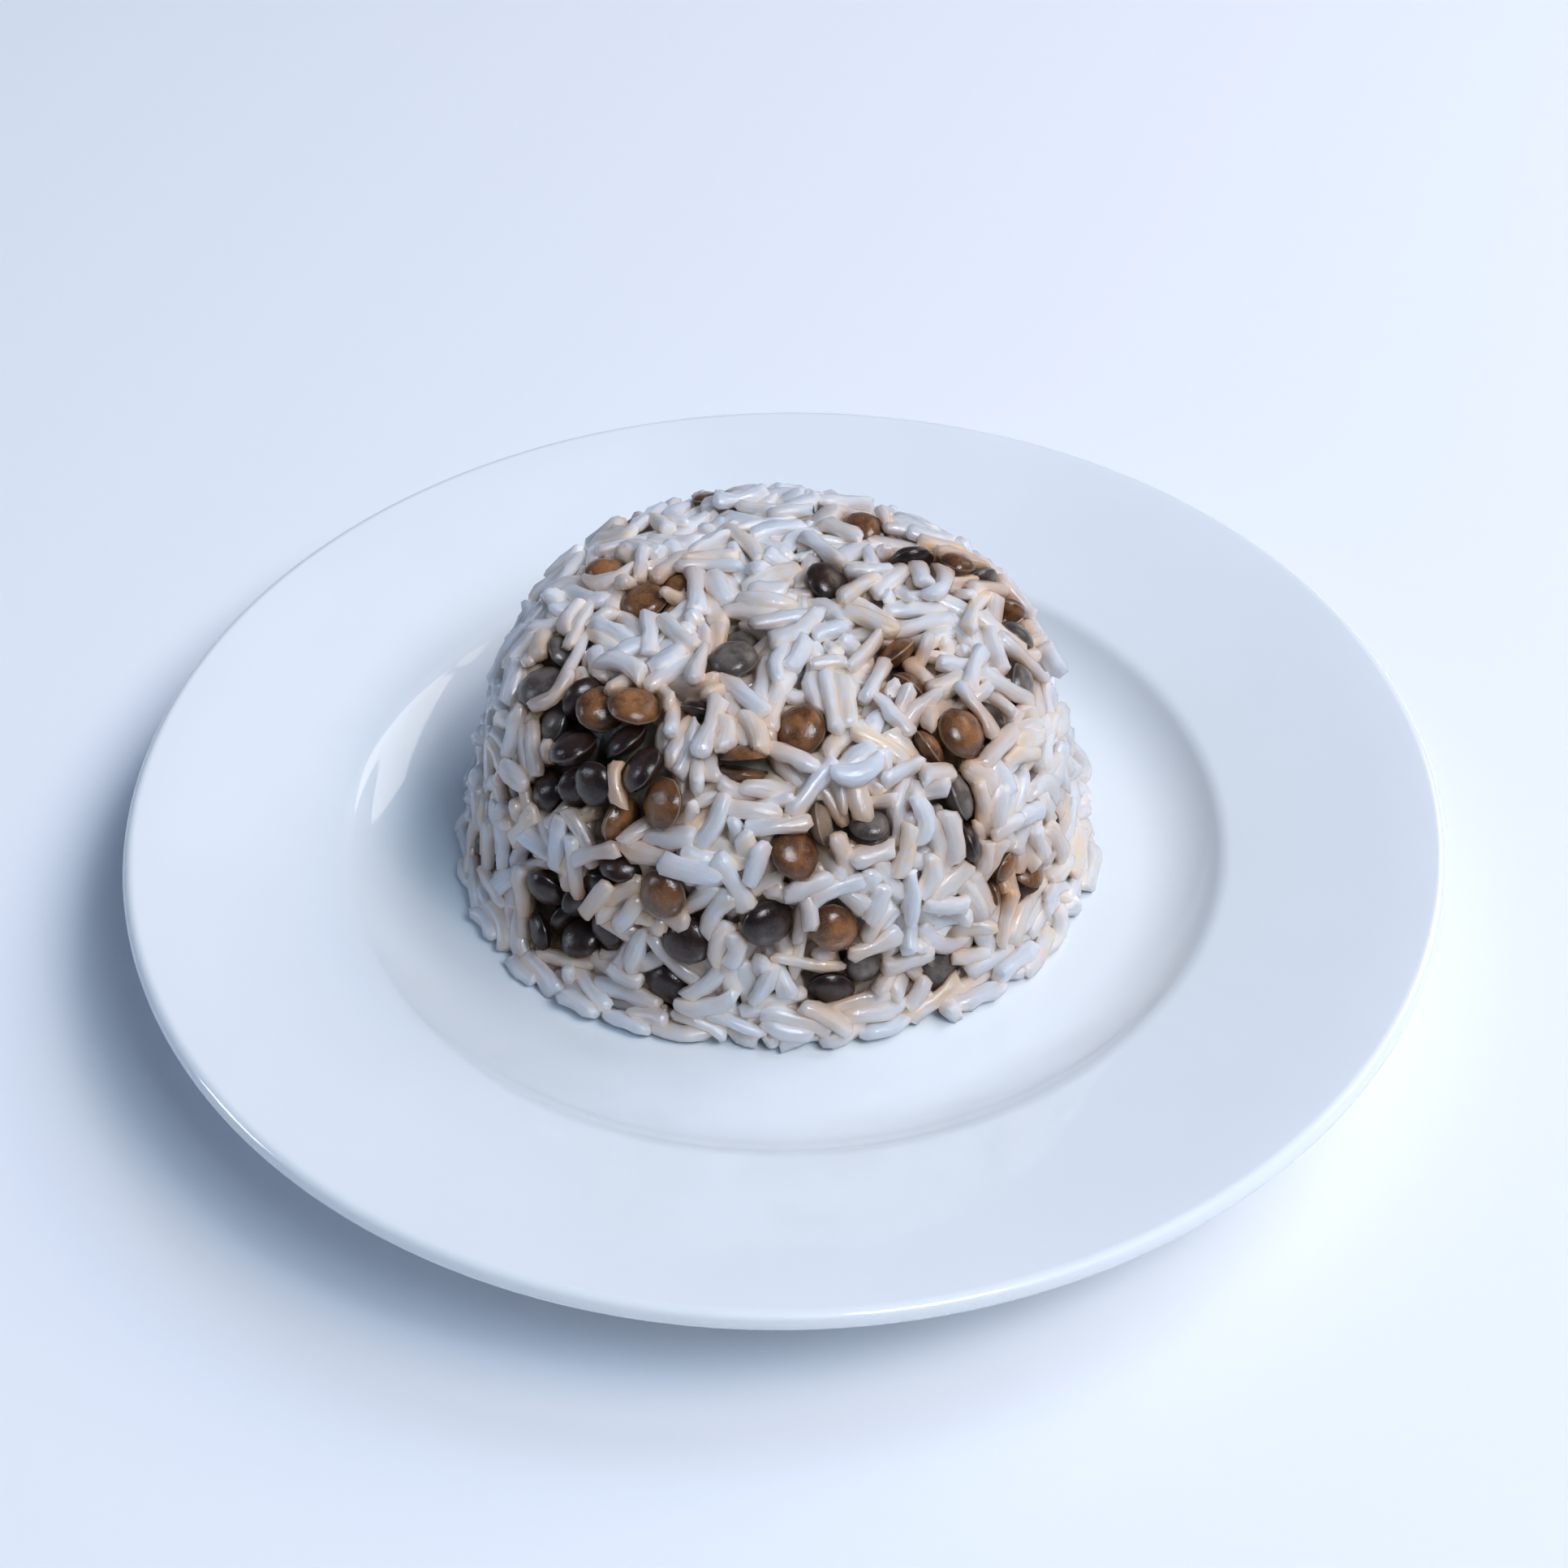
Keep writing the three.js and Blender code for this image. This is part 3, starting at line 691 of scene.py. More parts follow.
# Lentils that show from the front: azimuth and polar angle of the place, coat, stance, diameter, and how
# deep the face lies under the mould's surface. A flat lentil looks out of the mound, one on edge shows its
# upright rim, and a level one shows its rim lying.
LENTILS = (
    (-32, 12, "grey", "flat", 4.8, 1.8),
    (114, 11, "dark", "flat", 6.8, -0.8),
    (-110, 19, "brown", "flat", 4.8, 1.6),
    (-23, 19, "grey", "flat", 6.8, 0.1),
    (-95, 24, "brown", "flat", 6.8, 0.2),
    (60, 25, "brown", "level", 6.5, -0.8),
    (116, 28, "dark", "on_edge", 6.8, -0.6),
    (145, 29, "brown", "parted", 7.2, -0.8),
    (-26, 30, "dark", "level", 5.0, 1.0),
    (50, 31, "brown", "on_edge", 5.7, 0.2),
    (8, 32, "brown", "flat", 6.9, -0.6),
    (-114, 34, "brown", "flat", 6.1, 0.2),
    (109, 35, "brown", "flat", 5.2, -0.2),
    (-43, 35, "brown", "flat", 7.3, -0.9),
    (-8, 38, "brown", "parted", 6.8, -0.4),
    (-82, 39, "grey", "level", 5.9, 0.0),
    (-60, 39, "dark", "on_edge", 6.8, -0.4),
    (-53, 39, "brown", "flat", 7.0, 0.2),
    (109, 40, "grey", "on_edge", 5.5, -0.2),
    (-41, 40, "dark", "flat", 6.8, 1.2),
    (41, 42, "brown", "on_edge", 6.3, 0.2),
    (48, 43, "brown", "flat", 7.4, -0.9),
    (-33, 43, "dark", "flat", 7.0, -0.2),
    (99, 44, "brown", "on_edge", 5.2, -0.2),
    (58, 45, "dark", "flat", 6.1, 1.4),
    (-52, 45, "dark", "flat", 7.2, -0.4),
    (-74, 45, "grey", "flat", 7.2, -0.2),
    (90, 45, "grey", "flat", 5.5, 0.0),
    (-26, 47, "brown", "flat", 7.0, -0.4),
    (-65, 47, "grey", "flat", 6.1, 1.3),
    (75, 47, "grey", "flat", 6.3, 0.0),
    (-42, 49, "dark", "flat", 6.5, 0.0),
    (9, 49, "peeled", "on_edge", 6.2, 0.2),
    (-48, 51, "dark", "on_edge", 6.1, 0.0),
    (20, 51, "grey", "parted", 5.9, 0.2),
    (41, 52, "grey", "on_edge", 7.4, 0.0),
    (4, 53, "brown", "flat", 7.0, -0.8),
    (-36, 53, "brown", "on_edge", 7.0, 0.2),
    (-56, 57, "dark", "flat", 5.9, 0.8),
    (40, 59, "dark", "on_edge", 6.5, -0.2),
    (-32, 61, "dark", "level", 6.5, 0.2),
    (-22, 62, "brown", "flat", 7.0, -0.6),
    (-66, 62, "dark", "flat", 6.1, 1.0),
    (-2, 65, "dark", "flat", 7.4, -0.8),
    (10, 67, "brown", "flat", 7.2, -0.3),
    (47, 68, "brown", "flat", 4.6, -0.2),
    (-17, 70, "dark", "flat", 7.2, -0.2),
    (45, 73, "brown", "on_edge", 4.8, 0.4),
    (67, 72, "dark", "on_edge", 5.2, 0.4),
    (-42, 72, "dark", "on_edge", 5.9, 0.4),
    (-38, 68, "dark", "flat", 5.5, 1.6),
    (-37, 77, "dark", "flat", 5.9, 1.2),
    (-46, 79, "dark", "on_edge", 6.1, 0.8),
    (-49, 75, "dark", "flat", 6.8, 0.2),
    (55, 76, "brown", "parted", 5.5, 0.0),
    (15, 77, "grey", "flat", 5.5, 0.9),
    (-41, 79, "dark", "level", 6.3, 0.4),
    (10, 80, "dark", "flat", 6.8, 0.5),
    (-73, 81, "dark", "on_edge", 6.1, 0.6),
    (31, 82, "grey", "flat", 6.8, 0.4),
    (-21, 82, "dark", "flat", 7.4, 0.3),
    (-50, 83, "dark", "flat", 5.9, 0.2),
)
BACK_LENTILS = 100  # over the whole mound, of which only those at the back are kept
BACK_AZIMUTH = math.radians(118)
BACK_POLAR = np.radians((42, 85))
BACK_DEPTH = (0.3, 0.5)  # mean and spread
BACK_COATS = {"brown": 0.42, "grey": 0.26, "dark": 0.32}  # with their shares
BACK_STANCES = {"flat": 0.6, "on_edge": 0.16, "level": 0.16, "parted": 0.08}
STANCES = {"flat": (0, 0), "on_edge": (68, 0), "level": (0, 66), "parted": (0, 62)}  # lean sideways and up
COATS = {  # material, colours of the face, of its blotches and painted rim shade, and of its keel, partly a painted highlight; roughness of the coat and of its film
    "brown": ("brown_lentil_coat", "99643a", "3a2012", "c2a684", 0.34, 0.08),
    "grey": ("grey_lentil_coat", "7c7169", "352b27", "a0978e", 0.42, 0.14),
    "dark": ("dark_lentil_coat", "432c24", "110806", "6a5850", 0.34, 0.1),
    "peeled": ("peeled_lentil", "a08a76", "75624f", "b8a998", 0.45, 0.2),
}


def lentil_places(random):
    """Azimuth, polar angle, coat, stance, diameter and depth of every lentil in the shell."""
    shown = [(math.radians(azimuth), math.radians(polar), *look) for azimuth, polar, *look in LENTILS]
    azimuth, polar = spread(BACK_LENTILS, random)
    coats = random.choice(list(BACK_COATS), BACK_LENTILS, p=list(BACK_COATS.values()))
    stances = random.choice(list(BACK_STANCES), BACK_LENTILS, p=list(BACK_STANCES.values()))
    diameters = random.uniform(*LENTIL_DIAMETER, BACK_LENTILS)
    depths = random.normal(*BACK_DEPTH, BACK_LENTILS)
    behind = [
        place
        for place in zip(azimuth, polar, coats, stances, diameters, depths)
        if abs(place[0]) > BACK_AZIMUTH and BACK_POLAR[0] < place[1] < BACK_POLAR[1]
    ]
    return shown + behind


def relief(azimuth, polar):
    """How far the turned-out mound bulges past the mould, in millimetres, at a place on it."""
    rising = np.sin(3 * azimuth + 4 * polar + 0.6)
    falling = np.sin(5 * azimuth - 3 * polar)
    steep = np.sin(7 * polar + 2 * azimuth)
    return RELIEF * (rising + falling + steep) / FULL_RELIEF


def lentil_bodies(random):
    """Every lentil's coat and stance, with the arrays that the packing moves."""
    places = lentil_places(random)
    azimuth, polar = np.array([p[0] for p in places]), np.array([p[1] for p in places])
    count = len(places)
    radius = np.array([p[4] for p in places]) / 2
    depth = np.array([p[5] for p in places])
    half = radius * random.uniform(*LENTIL_THICKNESS, count)
    lean = np.radians([STANCES[p[3]] for p in places]) + random.normal(0, LENTIL_LEAN, (count, 2))
    standing = np.abs(np.sin(lean)).max(1)
    reach = half + (radius - half) * standing  # from the middle of a lentil to its outermost point
    centre, axes = on_mould(azimuth, polar, reach + depth - relief(azimuth, polar))
    outward = axes[:, :, 2]
    axes = turned_by(axes, axes[:, :, 1] * lean[:, :1] - axes[:, :, 0] * lean[:, 1:])
    axes = turned_by(axes, axes[:, :, 2] * random.uniform(0, 2 * math.pi, (count, 1)))
    ring = np.linspace(0, 2 * math.pi, LENTIL_BALLS, endpoint=False)
    ring = np.concatenate([[[0, 0, 0]], np.stack([np.cos(ring), np.sin(ring), 0 * ring], -1)])
    balls = ring[None] * (radius - half * LENTIL_END)[:, None, None]
    guarded = reach + GUARD_HEIGHT * (depth < COVERED_DEPTH)
    guard = np.einsum("nij,ni->nj", axes, outward) * guarded[:, None]
    return SimpleNamespace(
        coat=np.array([p[2] for p in places]),
        pattern=np.array([int(p[3] == "parted") for p in places]),
        bend=np.zeros(count),
        centre=centre,
        axes=axes,
        outward=outward,
        scale=np.stack([radius, radius * random.uniform(*LENTIL_OVAL, count), half], -1),
        balls=np.concatenate([balls, guard[:, None]], 1),
        thickness=half * LENTIL_BALL,
        proud=np.full(count, np.inf),
        give=np.full(count, LENTIL_GIVE),
        fall=np.zeros(count),
    )


def packed_places(random, lentils):
    """Azimuths, polar angles, places and axes of grains in layers under the mould, clear of the lentils."""
    azimuth, polar, depth = [], [], []
    for middle, count in GRAIN_LAYERS:
        around, down = spread(count, random)
        azimuth.append(around)
        polar.append(down)
        depth.append(middle + random.normal(0, LAYER_UNEVENNESS, count))
    azimuth, polar, depth = map(np.concatenate, (azimuth, polar, depth))
    centre, axes = on_mould(azimuth, polar, depth - relief(azimuth, polar))
    apart = np.linalg.norm(centre[:, None] - lentils.centre[None], axis=2)
    above = np.einsum("gli,li->gl", centre[:, None] - lentils.centre[None], lentils.outward)
    beside = np.sqrt(np.maximum(apart**2 - above**2, 0))
    radius = lentils.scale[None, :, 0]
    covers = (above > 0) & (above < COVER_HEIGHT) & (beside < radius + CLEARANCE)
    inside = apart < radius * LENTIL_HOLD
    crowded = (apart < CROWD_REACH).sum(1) > 2
    clear = ~(inside.any(1) | crowded | covers.any(1))
    return azimuth[clear], polar[clear], centre[clear], axes[clear]


def loose_places(random):
    """Places and axes of the grains that lie loose round the foot, and how far out each may spread."""
    azimuth = np.linspace(-math.pi, math.pi, LOOSE_GRAINS) + random.normal(0, LOOSE_JITTER, LOOSE_GRAINS)
    sin, cos = np.sin(azimuth), np.cos(azimuth)
    further = LOOSE_SPREAD * np.sin(2 * azimuth) ** 2
    foot = section(np.array([math.pi / 2]))[0]
    away = random.triangular(*LOOSE_INSET, LOOSE_GRAINS) + foot + further
    height = random.uniform(*LOOSE_HEIGHT, LOOSE_GRAINS)
    axes = np.tile(np.eye(3), (LOOSE_GRAINS, 1, 1))
    axes[:, :2, 0] = np.stack([cos, sin], -1)
    axes[:, :2, 1] = np.stack([-sin, cos], -1)
    return MOUND_CENTRE + np.stack([sin * away, -cos * away, height], -1), axes, further


def grain_bodies(random, lentils):
    """Grains in the mould and loose grains round its foot, with the arrays that the packing moves."""
    azimuth, polar, centre, axes = packed_places(random, lentils)
    loose_centre, loose_axes, further = loose_places(random)
    packed = len(centre)
    centre, axes = np.concatenate([centre, loose_centre]), np.concatenate([axes, loose_axes])
    count = len(centre)
    loose = np.arange(count) >= packed

    kind = random.choice(len(GRAIN_SHAPES), count, p=[share for share, *_ in GRAIN_SHAPES.values()])
    length = random.triangular(*GRAIN_LENGTH, count)
    length *= np.array([shape[1] for shape in GRAIN_SHAPES.values()])[kind]
    width = random.triangular(*GRAIN_WIDTH, count)
    scale = np.stack([length / 2, width / 2, width / 2 * random.uniform(*GRAIN_THICKNESS, count)], -1)
    bend = random.normal(0, BEND, count)
    curled = random.uniform(0, 1, count) < CURLED_SHARE
    bend[curled] = random.choice((-1, 1), curled.sum()) * random.uniform(*CURL, curled.sum())

    low = loose | (centre[:, 2] < FLOOR_HEIGHT + SKIRT_HEIGHT)
    swing = np.where(low, random.normal(0, LOW_SWING, count), random.uniform(0, 2 * math.pi, count))
    tip = np.where(loose, random.normal(0, LOOSE_TIP, count), random.normal(0, TIP, count))
    upright = (random.uniform(0, 1, count) < UPRIGHT_SHARE) & ~low
    tip[upright] = random.uniform(*UPRIGHT_TIP, upright.sum())
    rolled = random.uniform(0, 1, count) < ROLLED_SHARE
    roll = np.where(rolled, random.uniform(*ROLLED, count), random.normal(0, ROLL, count))
    for axis, turn in ((2, swing), (1, tip), (0, roll)):
        axes = turned_by(axes, axes[:, :, axis] * turn[:, None])

    balls = np.zeros((count, GRAIN_BALLS, 3))
    balls[:, :, 0] = np.linspace(-1, 1, GRAIN_BALLS) * (scale[:, :1] - scale[:, 1:2] * GRAIN_END)
    for i in range(count):
        balls[i] = bent(balls[i], scale[i][0], bend[i])
    proud = random.normal(*PROUD, count)
    proud[:packed] = np.minimum(proud[:packed] + relief(azimuth, polar), PROUDEST)
    proud[packed:] = further
    return SimpleNamespace(
        pattern=kind * GRAIN_VARIANTS + random.integers(0, GRAIN_VARIANTS, count),
        centre=centre,
        axes=axes,
        scale=scale,
        bend=bend,
        balls=balls,
        thickness=width / 2 * SOFTNESS,
        proud=proud,
        give=np.ones(count),
        fall=np.where(loose, LOOSE_FALL, 0.0),
        tint=np.clip(random.gamma(*TINT, count), 0, 1),
    )


def pressed_together(*groups):
    """Settles groups of pieces against each other. Returns their balls' places, radii and owners."""
    start = np.cumsum([0] + [len(group.centre) for group in groups])
    owner = [np.repeat(s + np.arange(len(g.centre)), g.balls.shape[1]) for s, g in zip(start, groups)]
    radius = [np.repeat(g.thickness, g.balls.shape[1]) for g in groups]
    owner, radius = np.concatenate(owner), np.concatenate(radius)
    balls = np.concatenate([g.balls.reshape(-1, 3) for g in groups])

    def gathered(name):
        return np.concatenate([getattr(g, name) for g in groups])

    limits = [gathered(name) for name in ("proud", "give", "fall")]
    centre, axes = settle(gathered("centre"), gathered("axes"), balls, radius, owner, *limits)
    for s, group in zip(start, groups):
        group.number = s + np.arange(len(group.centre))
        group.centre, group.axes = centre[group.number], axes[group.number]
    return np.einsum("nij,nj->ni", axes[owner], balls) + centre[owner], radius, owner


# Each kind of grain: its share, its length against a whole grain's, the depth of the notch in one end, the
# slants of both ends, and the half widths, half thicknesses and side shifts of its rings.
STRAIGHT = (0, 0, 0, 0, 0, 0, 0)
RING_PLACES = (-0.965, -0.83, -0.45, 0.0, 0.45, 0.83, 0.965)
GRAIN_SHAPES = {
    "whole": (0.22, 1.0, 0.0, (0.05, -0.04),
              (0.64, 0.93, 1.0, 0.95, 1.0, 0.92, 0.62),
              (0.58, 0.86, 1.0, 0.97, 0.97, 0.86, 0.56),
              STRAIGHT),
    "tapered": (0.16, 1.04, 0.0, (0.07, 0.03),
                (0.64, 0.93, 1.02, 0.98, 0.84, 0.58, 0.36),
                (0.58, 0.86, 1.0, 0.96, 0.84, 0.60, 0.38),
                (0, 0, 0, 0, 0, 0.05, 0.08)),
    "plump": (0.08, 0.84, 0.0, (0.0, 0.05),
              (0.58, 0.90, 1.12, 1.14, 1.12, 0.90, 0.58),
              (0.54, 0.84, 1.04, 1.06, 1.04, 0.84, 0.54),
              STRAIGHT),
    "waisted": (0.16, 1.0, 0.0, (-0.07, 0.07),
                (0.72, 1.04, 0.96, 0.82, 0.92, 1.06, 0.76),
                (0.58, 0.88, 0.94, 0.88, 0.94, 0.88, 0.58),
                (0, 0.05, 0, -0.06, 0, 0.05, 0)),
    "cut": (0.14, 0.7, 0.0, (0.18, 0.0),
            (0.82, 1.0, 1.03, 1.0, 0.97, 0.82, 0.52),
            (0.74, 0.94, 1.0, 0.98, 0.94, 0.80, 0.50),
            STRAIGHT),
    "split": (0.14, 0.96, 0.08, (0.03, 0.05),
              (0.66, 0.92, 0.98, 0.94, 1.0, 1.10, 0.84),
              (0.58, 0.86, 0.96, 0.94, 0.92, 0.86, 0.58),
              STRAIGHT),
    "hooked": (0.10, 1.0, 0.0, (0.1, -0.14),
               (0.62, 0.92, 0.98, 0.94, 0.97, 0.92, 0.60),
               (0.56, 0.86, 0.96, 0.94, 0.92, 0.84, 0.56),
               (0, 0, -0.1, -0.14, 0.1, 0.5, 0.75)),
}
GRAIN_VARIANTS = 4
RING_UNEVENNESS = 0.07  # of a ring's size
SHIFT_UNEVENNESS = 0.08
SLANT_UNEVENNESS = 0.05
POINT_UNEVENNESS = np.array([0.015, 0.055, 0.055])  # along, across and through a grain
NOTCH_REACH = 0.2
NOTCH_WIDTH = 1.2
RING_CORNER = 0.5  # how much is cut off each corner of a grain's square rings, whose half side is 1


def grain_pattern(name, random):
    """One grain of half length, half width and half thickness 1, a little different at each call."""
    notch, slants, *rings = GRAIN_SHAPES[name][2:]
    uneven = np.array([RING_PLACES, *rings]).T
    if notch:
        uneven[-2, 0] -= notch  # behind the bottom of the notch
    uneven[:, 1:3] *= random.normal(1, RING_UNEVENNESS, (len(uneven), 2))
    uneven[:, 3] += random.normal(0, SHIFT_UNEVENNESS, len(uneven))
    slants = [slant + random.normal(0, SLANT_UNEVENNESS) for slant in slants]
    grain = drawn_out(name, uneven.tolist(), slants)
    if notch:
        last, side = uneven[-1][0], uneven[-1][3]
        select_where(grain, lambda co: co.x > last - NOTCH_REACH and abs(co.y - side) < NOTCH_WIDTH / 2)
        move(-notch, 0, 0)
        close_edit()
    points, faces = taken_apart(grain)
    return points + random.normal(0, 1, points.shape) * POINT_UNEVENNESS, faces


KEEL_WIDTH = 0.13
KEEL_REACH = 1.04
KEEL_LINE = 0.03  # height up to which a lentil's edge is pale
SKIN_GAP = 0.08  # how much is lost between a parted lentil's halves
HALF_LIFT = 0.14
HALF_SWING = 0.2  # how far each half has opened, in radians


def lens_body():
    """A lens of radius 1 and half thickness 1, with a low keel round its edge."""
    bpy.ops.object.select_all(action="DESELECT")
    bpy.ops.mesh.primitive_uv_sphere_add(segments=18, ring_count=8, radius=1, location=(0, 0, 0))
    lens = bpy.context.object
    select_where(lens, lambda co: abs(co.z) < ON_PLANE)
    bpy.ops.mesh.bevel(offset=KEEL_WIDTH, segments=2, affect="EDGES")
    select_where(lens, lambda co: abs(co.z) < ON_PLANE)
    stretch(KEEL_REACH, KEEL_REACH, 1)
    return close_edit()


def parted_pattern():
    """A lentil whose two halves have opened like a shell."""
    halves = []
    for side in (1, -1):
        half = lens_body()
        edit(half)
        cut = {"plane_co": (0, 0, SKIN_GAP * side), "plane_no": (0, 0, side), "threshold": ON_PLANE}
        bpy.ops.mesh.bisect(**cut, clear_inner=True, use_fill=True)
        select_all()
        move(0, 0, HALF_LIFT * side)
        swing(HALF_SWING * side, "Y", about=(-1, 0, 0))
        close_edit()
        halves.append(half)
    bpy.ops.object.select_all(action="DESELECT")
    for half in halves:
        half.select_set(True)
    bpy.context.view_layer.objects.active = halves[0]
    bpy.ops.object.join()
    points, faces = taken_apart(halves[0])
    order = np.lexsort(points.T)  # as a cut leaves its points in any order
    rank = np.argsort(order)
    return points[order], [tuple(rank[list(face)]) for face in faces]


def pressed_flat(places, number, local, own, others, give):
    """Points of the pieces own that lie in one of others, moved towards their own piece's middle line.

    local is each point's place in its own pattern, and give the share of the overlap that it yields."""
    point, piece = neighbours(places, others.centre, others.scale.max())
    other = own.number[number[point]] != others.number[piece]
    point, piece = point[other], piece[other]
    scale = others.scale[piece]
    inner = np.einsum("nij,ni->nj", others.axes[piece], places[point] - others.centre[piece])
    along = inner[:, 0] / scale[:, 0]
    inner[:, 1] -= others.bend[piece] * 2 * scale[:, 0] * (BEND_PIVOT - along**2)
    across = np.linalg.norm(inner[:, 1:] / scale[:, 1:], axis=1)
    overlap = np.zeros(len(places))
    girth = np.sqrt(np.maximum(1 - along**4, 0))
    np.maximum.at(overlap, point, (girth - across) * scale[:, 1])
    inward = -np.einsum("nij,nj->ni", own.axes[number], local * own.scale[number] * (0, 1, 1))
    room = np.maximum(np.linalg.norm(inward, axis=1), 1e-6)
    return places + inward * (np.minimum(overlap * give, PRESS_LIMIT * room) / room)[:, None]


def nearness(places, owner, balls, radius, ball_owner):
    """How close each place comes to another piece: 0 at SHADE_REACH away, and 1 where it is pressed in."""
    place, ball = neighbours(places, balls, radius.max() + SHADE_REACH)
    other = owner[place] != ball_owner[ball]
    place, ball = place[other], ball[other]
    gap = np.full(len(places), SHADE_REACH)
    np.minimum.at(gap, place, np.linalg.norm(places[place] - balls[ball], axis=1) - radius[ball])
    return np.clip(1 - gap / SHADE_REACH, 0, 1)


def joined(name, patterns, group, chosen, rough, values, press=None):
    """One mesh of many pieces, each a pattern that is scaled, bent, turned and put in place.

    rough is the height of every piece's unevenness, in millimetres. values(places, piece of each place,
    pattern points) gives the named values that the material reads, and press moves the points."""
    all_points, all_faces, all_local, all_number = [], [], [], []
    start = 0
    for i in chosen:
        points, faces = patterns[group.pattern[i]]
        shaped = bent(points * group.scale[i], group.scale[i][0], group.bend[i])
        place = group.centre[i] + shaped @ group.axes[i].T
        outward = points / np.maximum(np.linalg.norm(points, axis=1, keepdims=True), 1e-6)
        place += (outward @ group.axes[i].T) * lumps(place + i * LUMP_SHIFT)[:, None] * rough
        all_points.append(place)
        all_faces += [tuple(start + v for v in face) for face in faces]
        all_local.append(points)
        all_number.append(np.full(len(points), group.number[i]))
        start += len(points)
    places, number = np.concatenate(all_points), np.concatenate(all_number)
    if press:
        places = press(places, number, np.concatenate(all_local))
    mesh = bpy.data.meshes.new(name)
    mesh.from_pydata(places * MM, [], all_faces)
    mesh.shade_smooth()
    for key, value in values(places, number, np.concatenate(all_local)).items():
        kind, field = ("FLOAT", "value") if value.ndim == 1 else ("FLOAT_VECTOR", "vector")
        mesh.attributes.new(key, kind, "POINT").data.foreach_set(field, value.astype(np.float32).ravel())
    piece = bpy.data.objects.new(name, mesh)
    bpy.context.scene.collection.objects.link(piece)
    return piece


LUMP_WAVES = np.array([[2.1, 0.7, -1.3], [-0.9, 1.9, 1.1], [1.2, -1.4, 2.0]])  # radians in a millimetre
LUMP_SHIFT = 3.7  # sets each piece's lumps apart from its neighbour's
RIDGE_SHIFT = 9.7
RIDGE_STRETCH = 0.2  # draws the ridges of a grain out along it


def lumps(place):
    """Smooth unevenness from -1 to 1, with lumps about 3 mm apart."""
    return np.sin(place @ LUMP_WAVES.T).sum(1) / 3


def part_of_heap(piece, material):
    piece.data.materials.append(material)
    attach(piece, "root")
    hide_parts("rice_and_lentils")


def stain(places, lentils):
    """How much broth of the lentils round it reaches each place, from 0 to 1 where several lie close. In
    the core it sets the painted gap shade instead.
    """
    place, lentil = neighbours(places, lentils.centre, STAIN_REACH)
    close = 1 - np.linalg.norm(places[place] - lentils.centre[lentil], axis=1) / STAIN_REACH
    return np.minimum(np.bincount(place, close, len(places)) / FULL_STAIN, 1)


def make_heap():
    """Settles grains and lentils in the mould together, and makes a mesh of the rice and of each coat."""
    random = np.random.default_rng(SEED)
    lentils = lentil_bodies(random)
    grains = grain_bodies(random, lentils)
    balls, radius, owner = pressed_together(grains, lentils)
    shade = random.uniform(*LENTIL_TINT, len(owner))

    def press(places, number, local):
        places = pressed_flat(places, number, local, grains, grains, GRAIN_YIELD)
        places = pressed_flat(places, number, local, grains, lentils, 1.0)
        places[:, 2] = np.clip(places[:, 2], FLOOR_HEIGHT + FLOOR_FILM, LID_HEIGHT)
        return places

    def rice_values(places, number, local):
        drawn = local * grains.scale[number] * (RIDGE_STRETCH, 1, 1)
        return {
            # near and depth set the painted shade in the crevices and deeper under the surface, and stain
            # the tan of the broth.
            "near": nearness(places, number, balls, radius, owner),
            "depth": np.clip(depth_in_mould(places)[0] / SHADE_DEPTH, 0, 1),
            "tint": grains.tint[number],
            "stain": stain(places, lentils),
            "lengthwise": drawn + number[:, None] * RIDGE_SHIFT,
        }

    def lentil_values(places, number, local):
        # edge sets the painted shade towards a lentil's rim, and keel its pale keel line, partly a painted
        # highlight.
        level = np.abs(local[:, 2])
        return {"edge": 1 - level, "keel": (level < KEEL_LINE).astype(float), "tint": shade[number]}

    patterns = [grain_pattern(name, random) for name in GRAIN_SHAPES for _ in range(GRAIN_VARIANTS)]
    everything = range(len(grains.centre))
    rice = joined("rice_grains", patterns, grains, everything, GRAIN_ROUGHNESS, rice_values, press)
    part_of_heap(rice, boiled_rice())

    patterns = [taken_apart(lens_body()), parted_pattern()]
    for coat, looks in COATS.items():
        chosen = np.flatnonzero(lentils.coat == coat)
        made = joined(coat + "_lentils", patterns, lentils, chosen, LENTIL_ROUGHNESS, lentil_values)
        part_of_heap(made, boiled_lentil(*looks))
    make_core(lentils)


def make_core(lentils):
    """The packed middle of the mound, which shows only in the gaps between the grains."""
    polar = np.linspace(0, math.pi / 2, CORE_RINGS)
    radius, height = section(polar)
    out_r, out_z = section_normal(polar)
    inset = CORE_INSET + SKIRT_FLARE * CORE_FLARE * np.exp(-height / SKIRT_HEIGHT)
    radius, height = np.maximum(radius - out_r * inset, 0), height - out_z * CORE_INSET
    radius[0] = 0
    height[-1] = CORE_GAP
    outline = [(0.0, CORE_GAP)] + [(float(r), float(z)) for r, z in zip(radius[::-1], height[::-1])]
    core = turned("packed_core", outline, CORE_STEPS)
    points = np.array([v.co for v in core.data.vertices]) / MM
    outward = depth_in_mould(points + MOUND_CENTRE)[1]
    swell = (lumps(points) + lumps(points[:, ::-1] * CORE_LUMP_SIZE + CORE_LUMP_SHIFT)) * CORE_LUMPS
    swell -= stain(points + MOUND_CENTRE, lentils) * CORE_HOLLOW
    points += outward * (swell * (points[:, 2] > CORE_FOOT))[:, None]
    points += MOUND_CENTRE
    core.data.vertices.foreach_set("co", (points * MM).ravel())
    # The stain sets where the crumb is painted near black, as the shade of the deep gaps round the lentils.
    layer = core.data.attributes.new("stain", "FLOAT", "POINT")
    layer.data.foreach_set("value", stain(points, lentils).astype(np.float32))
    core.data.update()
    bpy.ops.object.shade_smooth()
    part_of_heap(core, crumb_with_painted_shade())


# ---- Stage ----

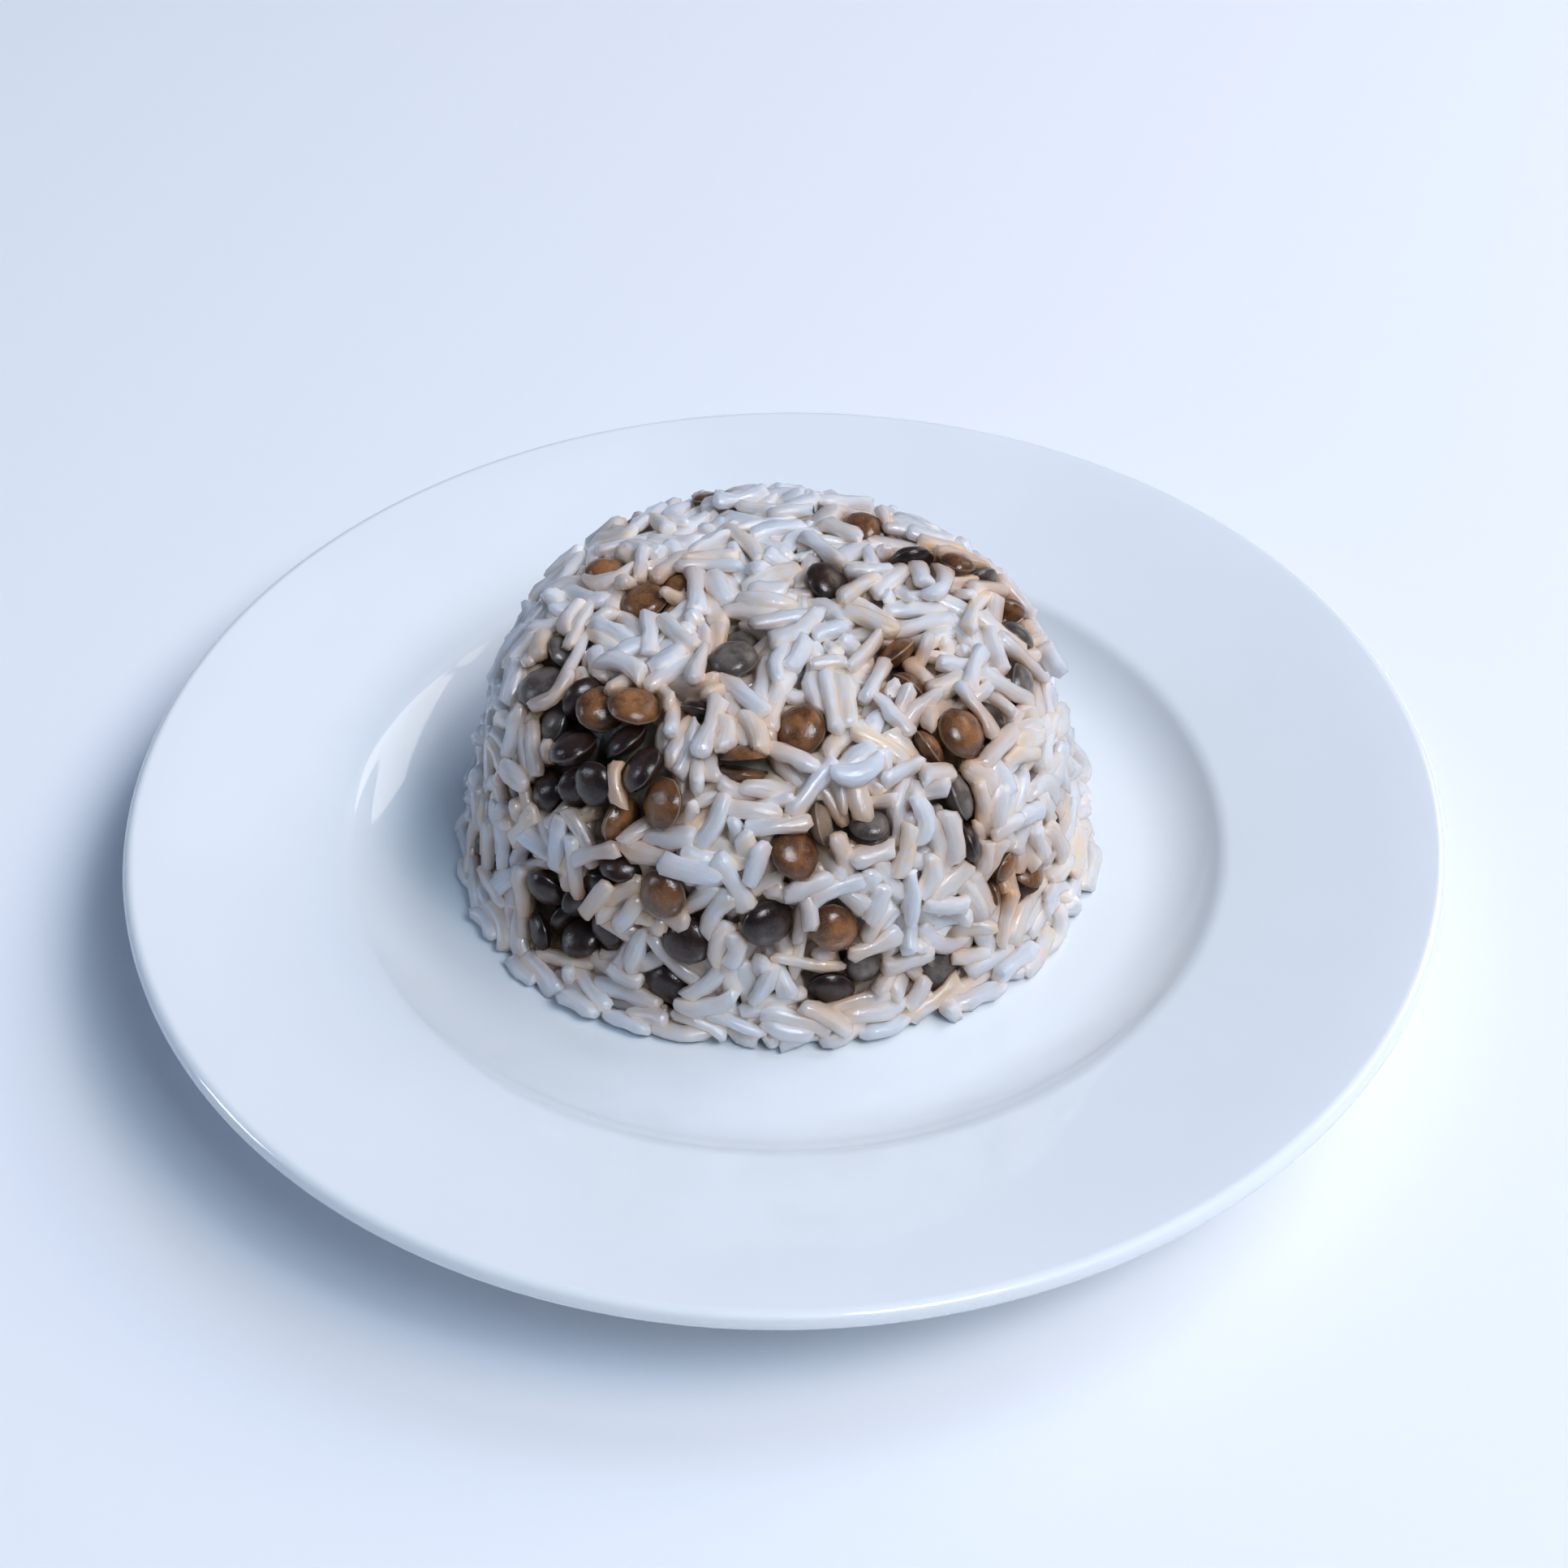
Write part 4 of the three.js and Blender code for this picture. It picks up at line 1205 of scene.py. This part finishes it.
TABLE_SIZE = 4.0  # in metres


def make_table():
    bpy.ops.object.select_all(action="DESELECT")
    bpy.ops.mesh.primitive_plane_add(size=TABLE_SIZE, location=(0, 0, 0))
    table = bpy.context.object
    table.name = "table"
    table.data.materials.append(table_top())


# Each lamp's azimuth from the front and elevation, in degrees, its distance and size, in metres, its power
# in watts and its colour, whether it lights the bodies of things, and whether it shows in their gloss.
LAMPS = {
    "key": (70, 52, 2.2, (0.9, 0.9), 21.2, "fff1ea", True, False),
    "front_sky": (45, 52, 2.2, (0.9, 0.9), 20.5, "d2ebff", True, False),
    "back_sky": (120, 52, 2.2, (0.9, 0.9), 15.0, "d1e4ff", True, False),
    "left_fill": (-90, 35, 2.2, (1.3, 1.3), 5.2, "a8d1ff", True, False),
    "window": (126, 35, 1.3, (0.7, 0.4), 3.0, "fdf1e2", True, True),
    "window_pane": (98, 37, 1.3, (0.18, 0.4), 0.6, "fdf1e2", True, True),
    "front_window": (25, 55, 1.6, (0.42, 0.32), 24.0, "f0f5ff", False, True),
    "left_window": (-89, 24, 1.6, (0.35, 0.3), 5.0, "e0ecff", False, True),
}
ROOM_COLOUR = "c7daff"
ROOM_STRENGTH = 0.172


def softbox(name, azimuth, elevation, distance, size, power, colour, lights, mirrored):
    """An oblong lamp turned to the plate, from a direction in degrees."""
    azimuth, elevation = math.radians(azimuth), math.radians(elevation)
    level = math.cos(elevation)
    way = Vector((math.sin(azimuth) * level, -math.cos(azimuth) * level, math.sin(elevation)))
    bpy.ops.object.light_add(type="AREA", location=way * distance)
    lamp = bpy.context.object
    lamp.name = name
    lamp.rotation_euler = (-way).to_track_quat("-Z", "Y").to_euler()
    lamp.data.shape = "RECTANGLE"
    lamp.data.size, lamp.data.size_y = size
    lamp.data.energy = power
    lamp.data.color = linear(colour)[:3]
    lamp.visible_diffuse = lights
    lamp.visible_glossy = mirrored


def make_light():
    """A pale room, soft lamps for the body of the light, and windows that show in the gloss."""
    world = bpy.data.worlds.new("pale_room")
    bpy.context.scene.world = world
    world.use_nodes = True
    background = world.node_tree.nodes["Background"]
    background.inputs["Color"].default_value = linear(ROOM_COLOUR)
    background.inputs["Strength"].default_value = ROOM_STRENGTH
    for name, values in LAMPS.items():
        softbox(name, *values)
    bpy.context.scene.view_settings.view_transform = "Standard"


def make_camera():
    camera = bpy.data.cameras.new("camera")
    camera.sensor_width = SENSOR_WIDTH
    camera.lens = FOCAL_PIXELS / FRAME_PIXELS * SENSOR_WIDTH
    holder = bpy.data.objects.new("camera", camera)
    bpy.context.scene.collection.objects.link(holder)
    way = Vector((0, -math.cos(CAMERA_ELEVATION), math.sin(CAMERA_ELEVATION)))
    aim = Vector((0, 0, AIM_HEIGHT * MM))
    turn = (-way).to_track_quat("-Z", "Y").to_matrix().to_4x4() @ Matrix.Rotation(CAMERA_ROLL, 4, "Z")
    holder.matrix_world = Matrix.Translation(aim + way * CAMERA_DISTANCE * MM) @ turn
    bpy.context.scene.camera = holder


make_camera()
make_table()
make_plate()
make_heap()
make_light()
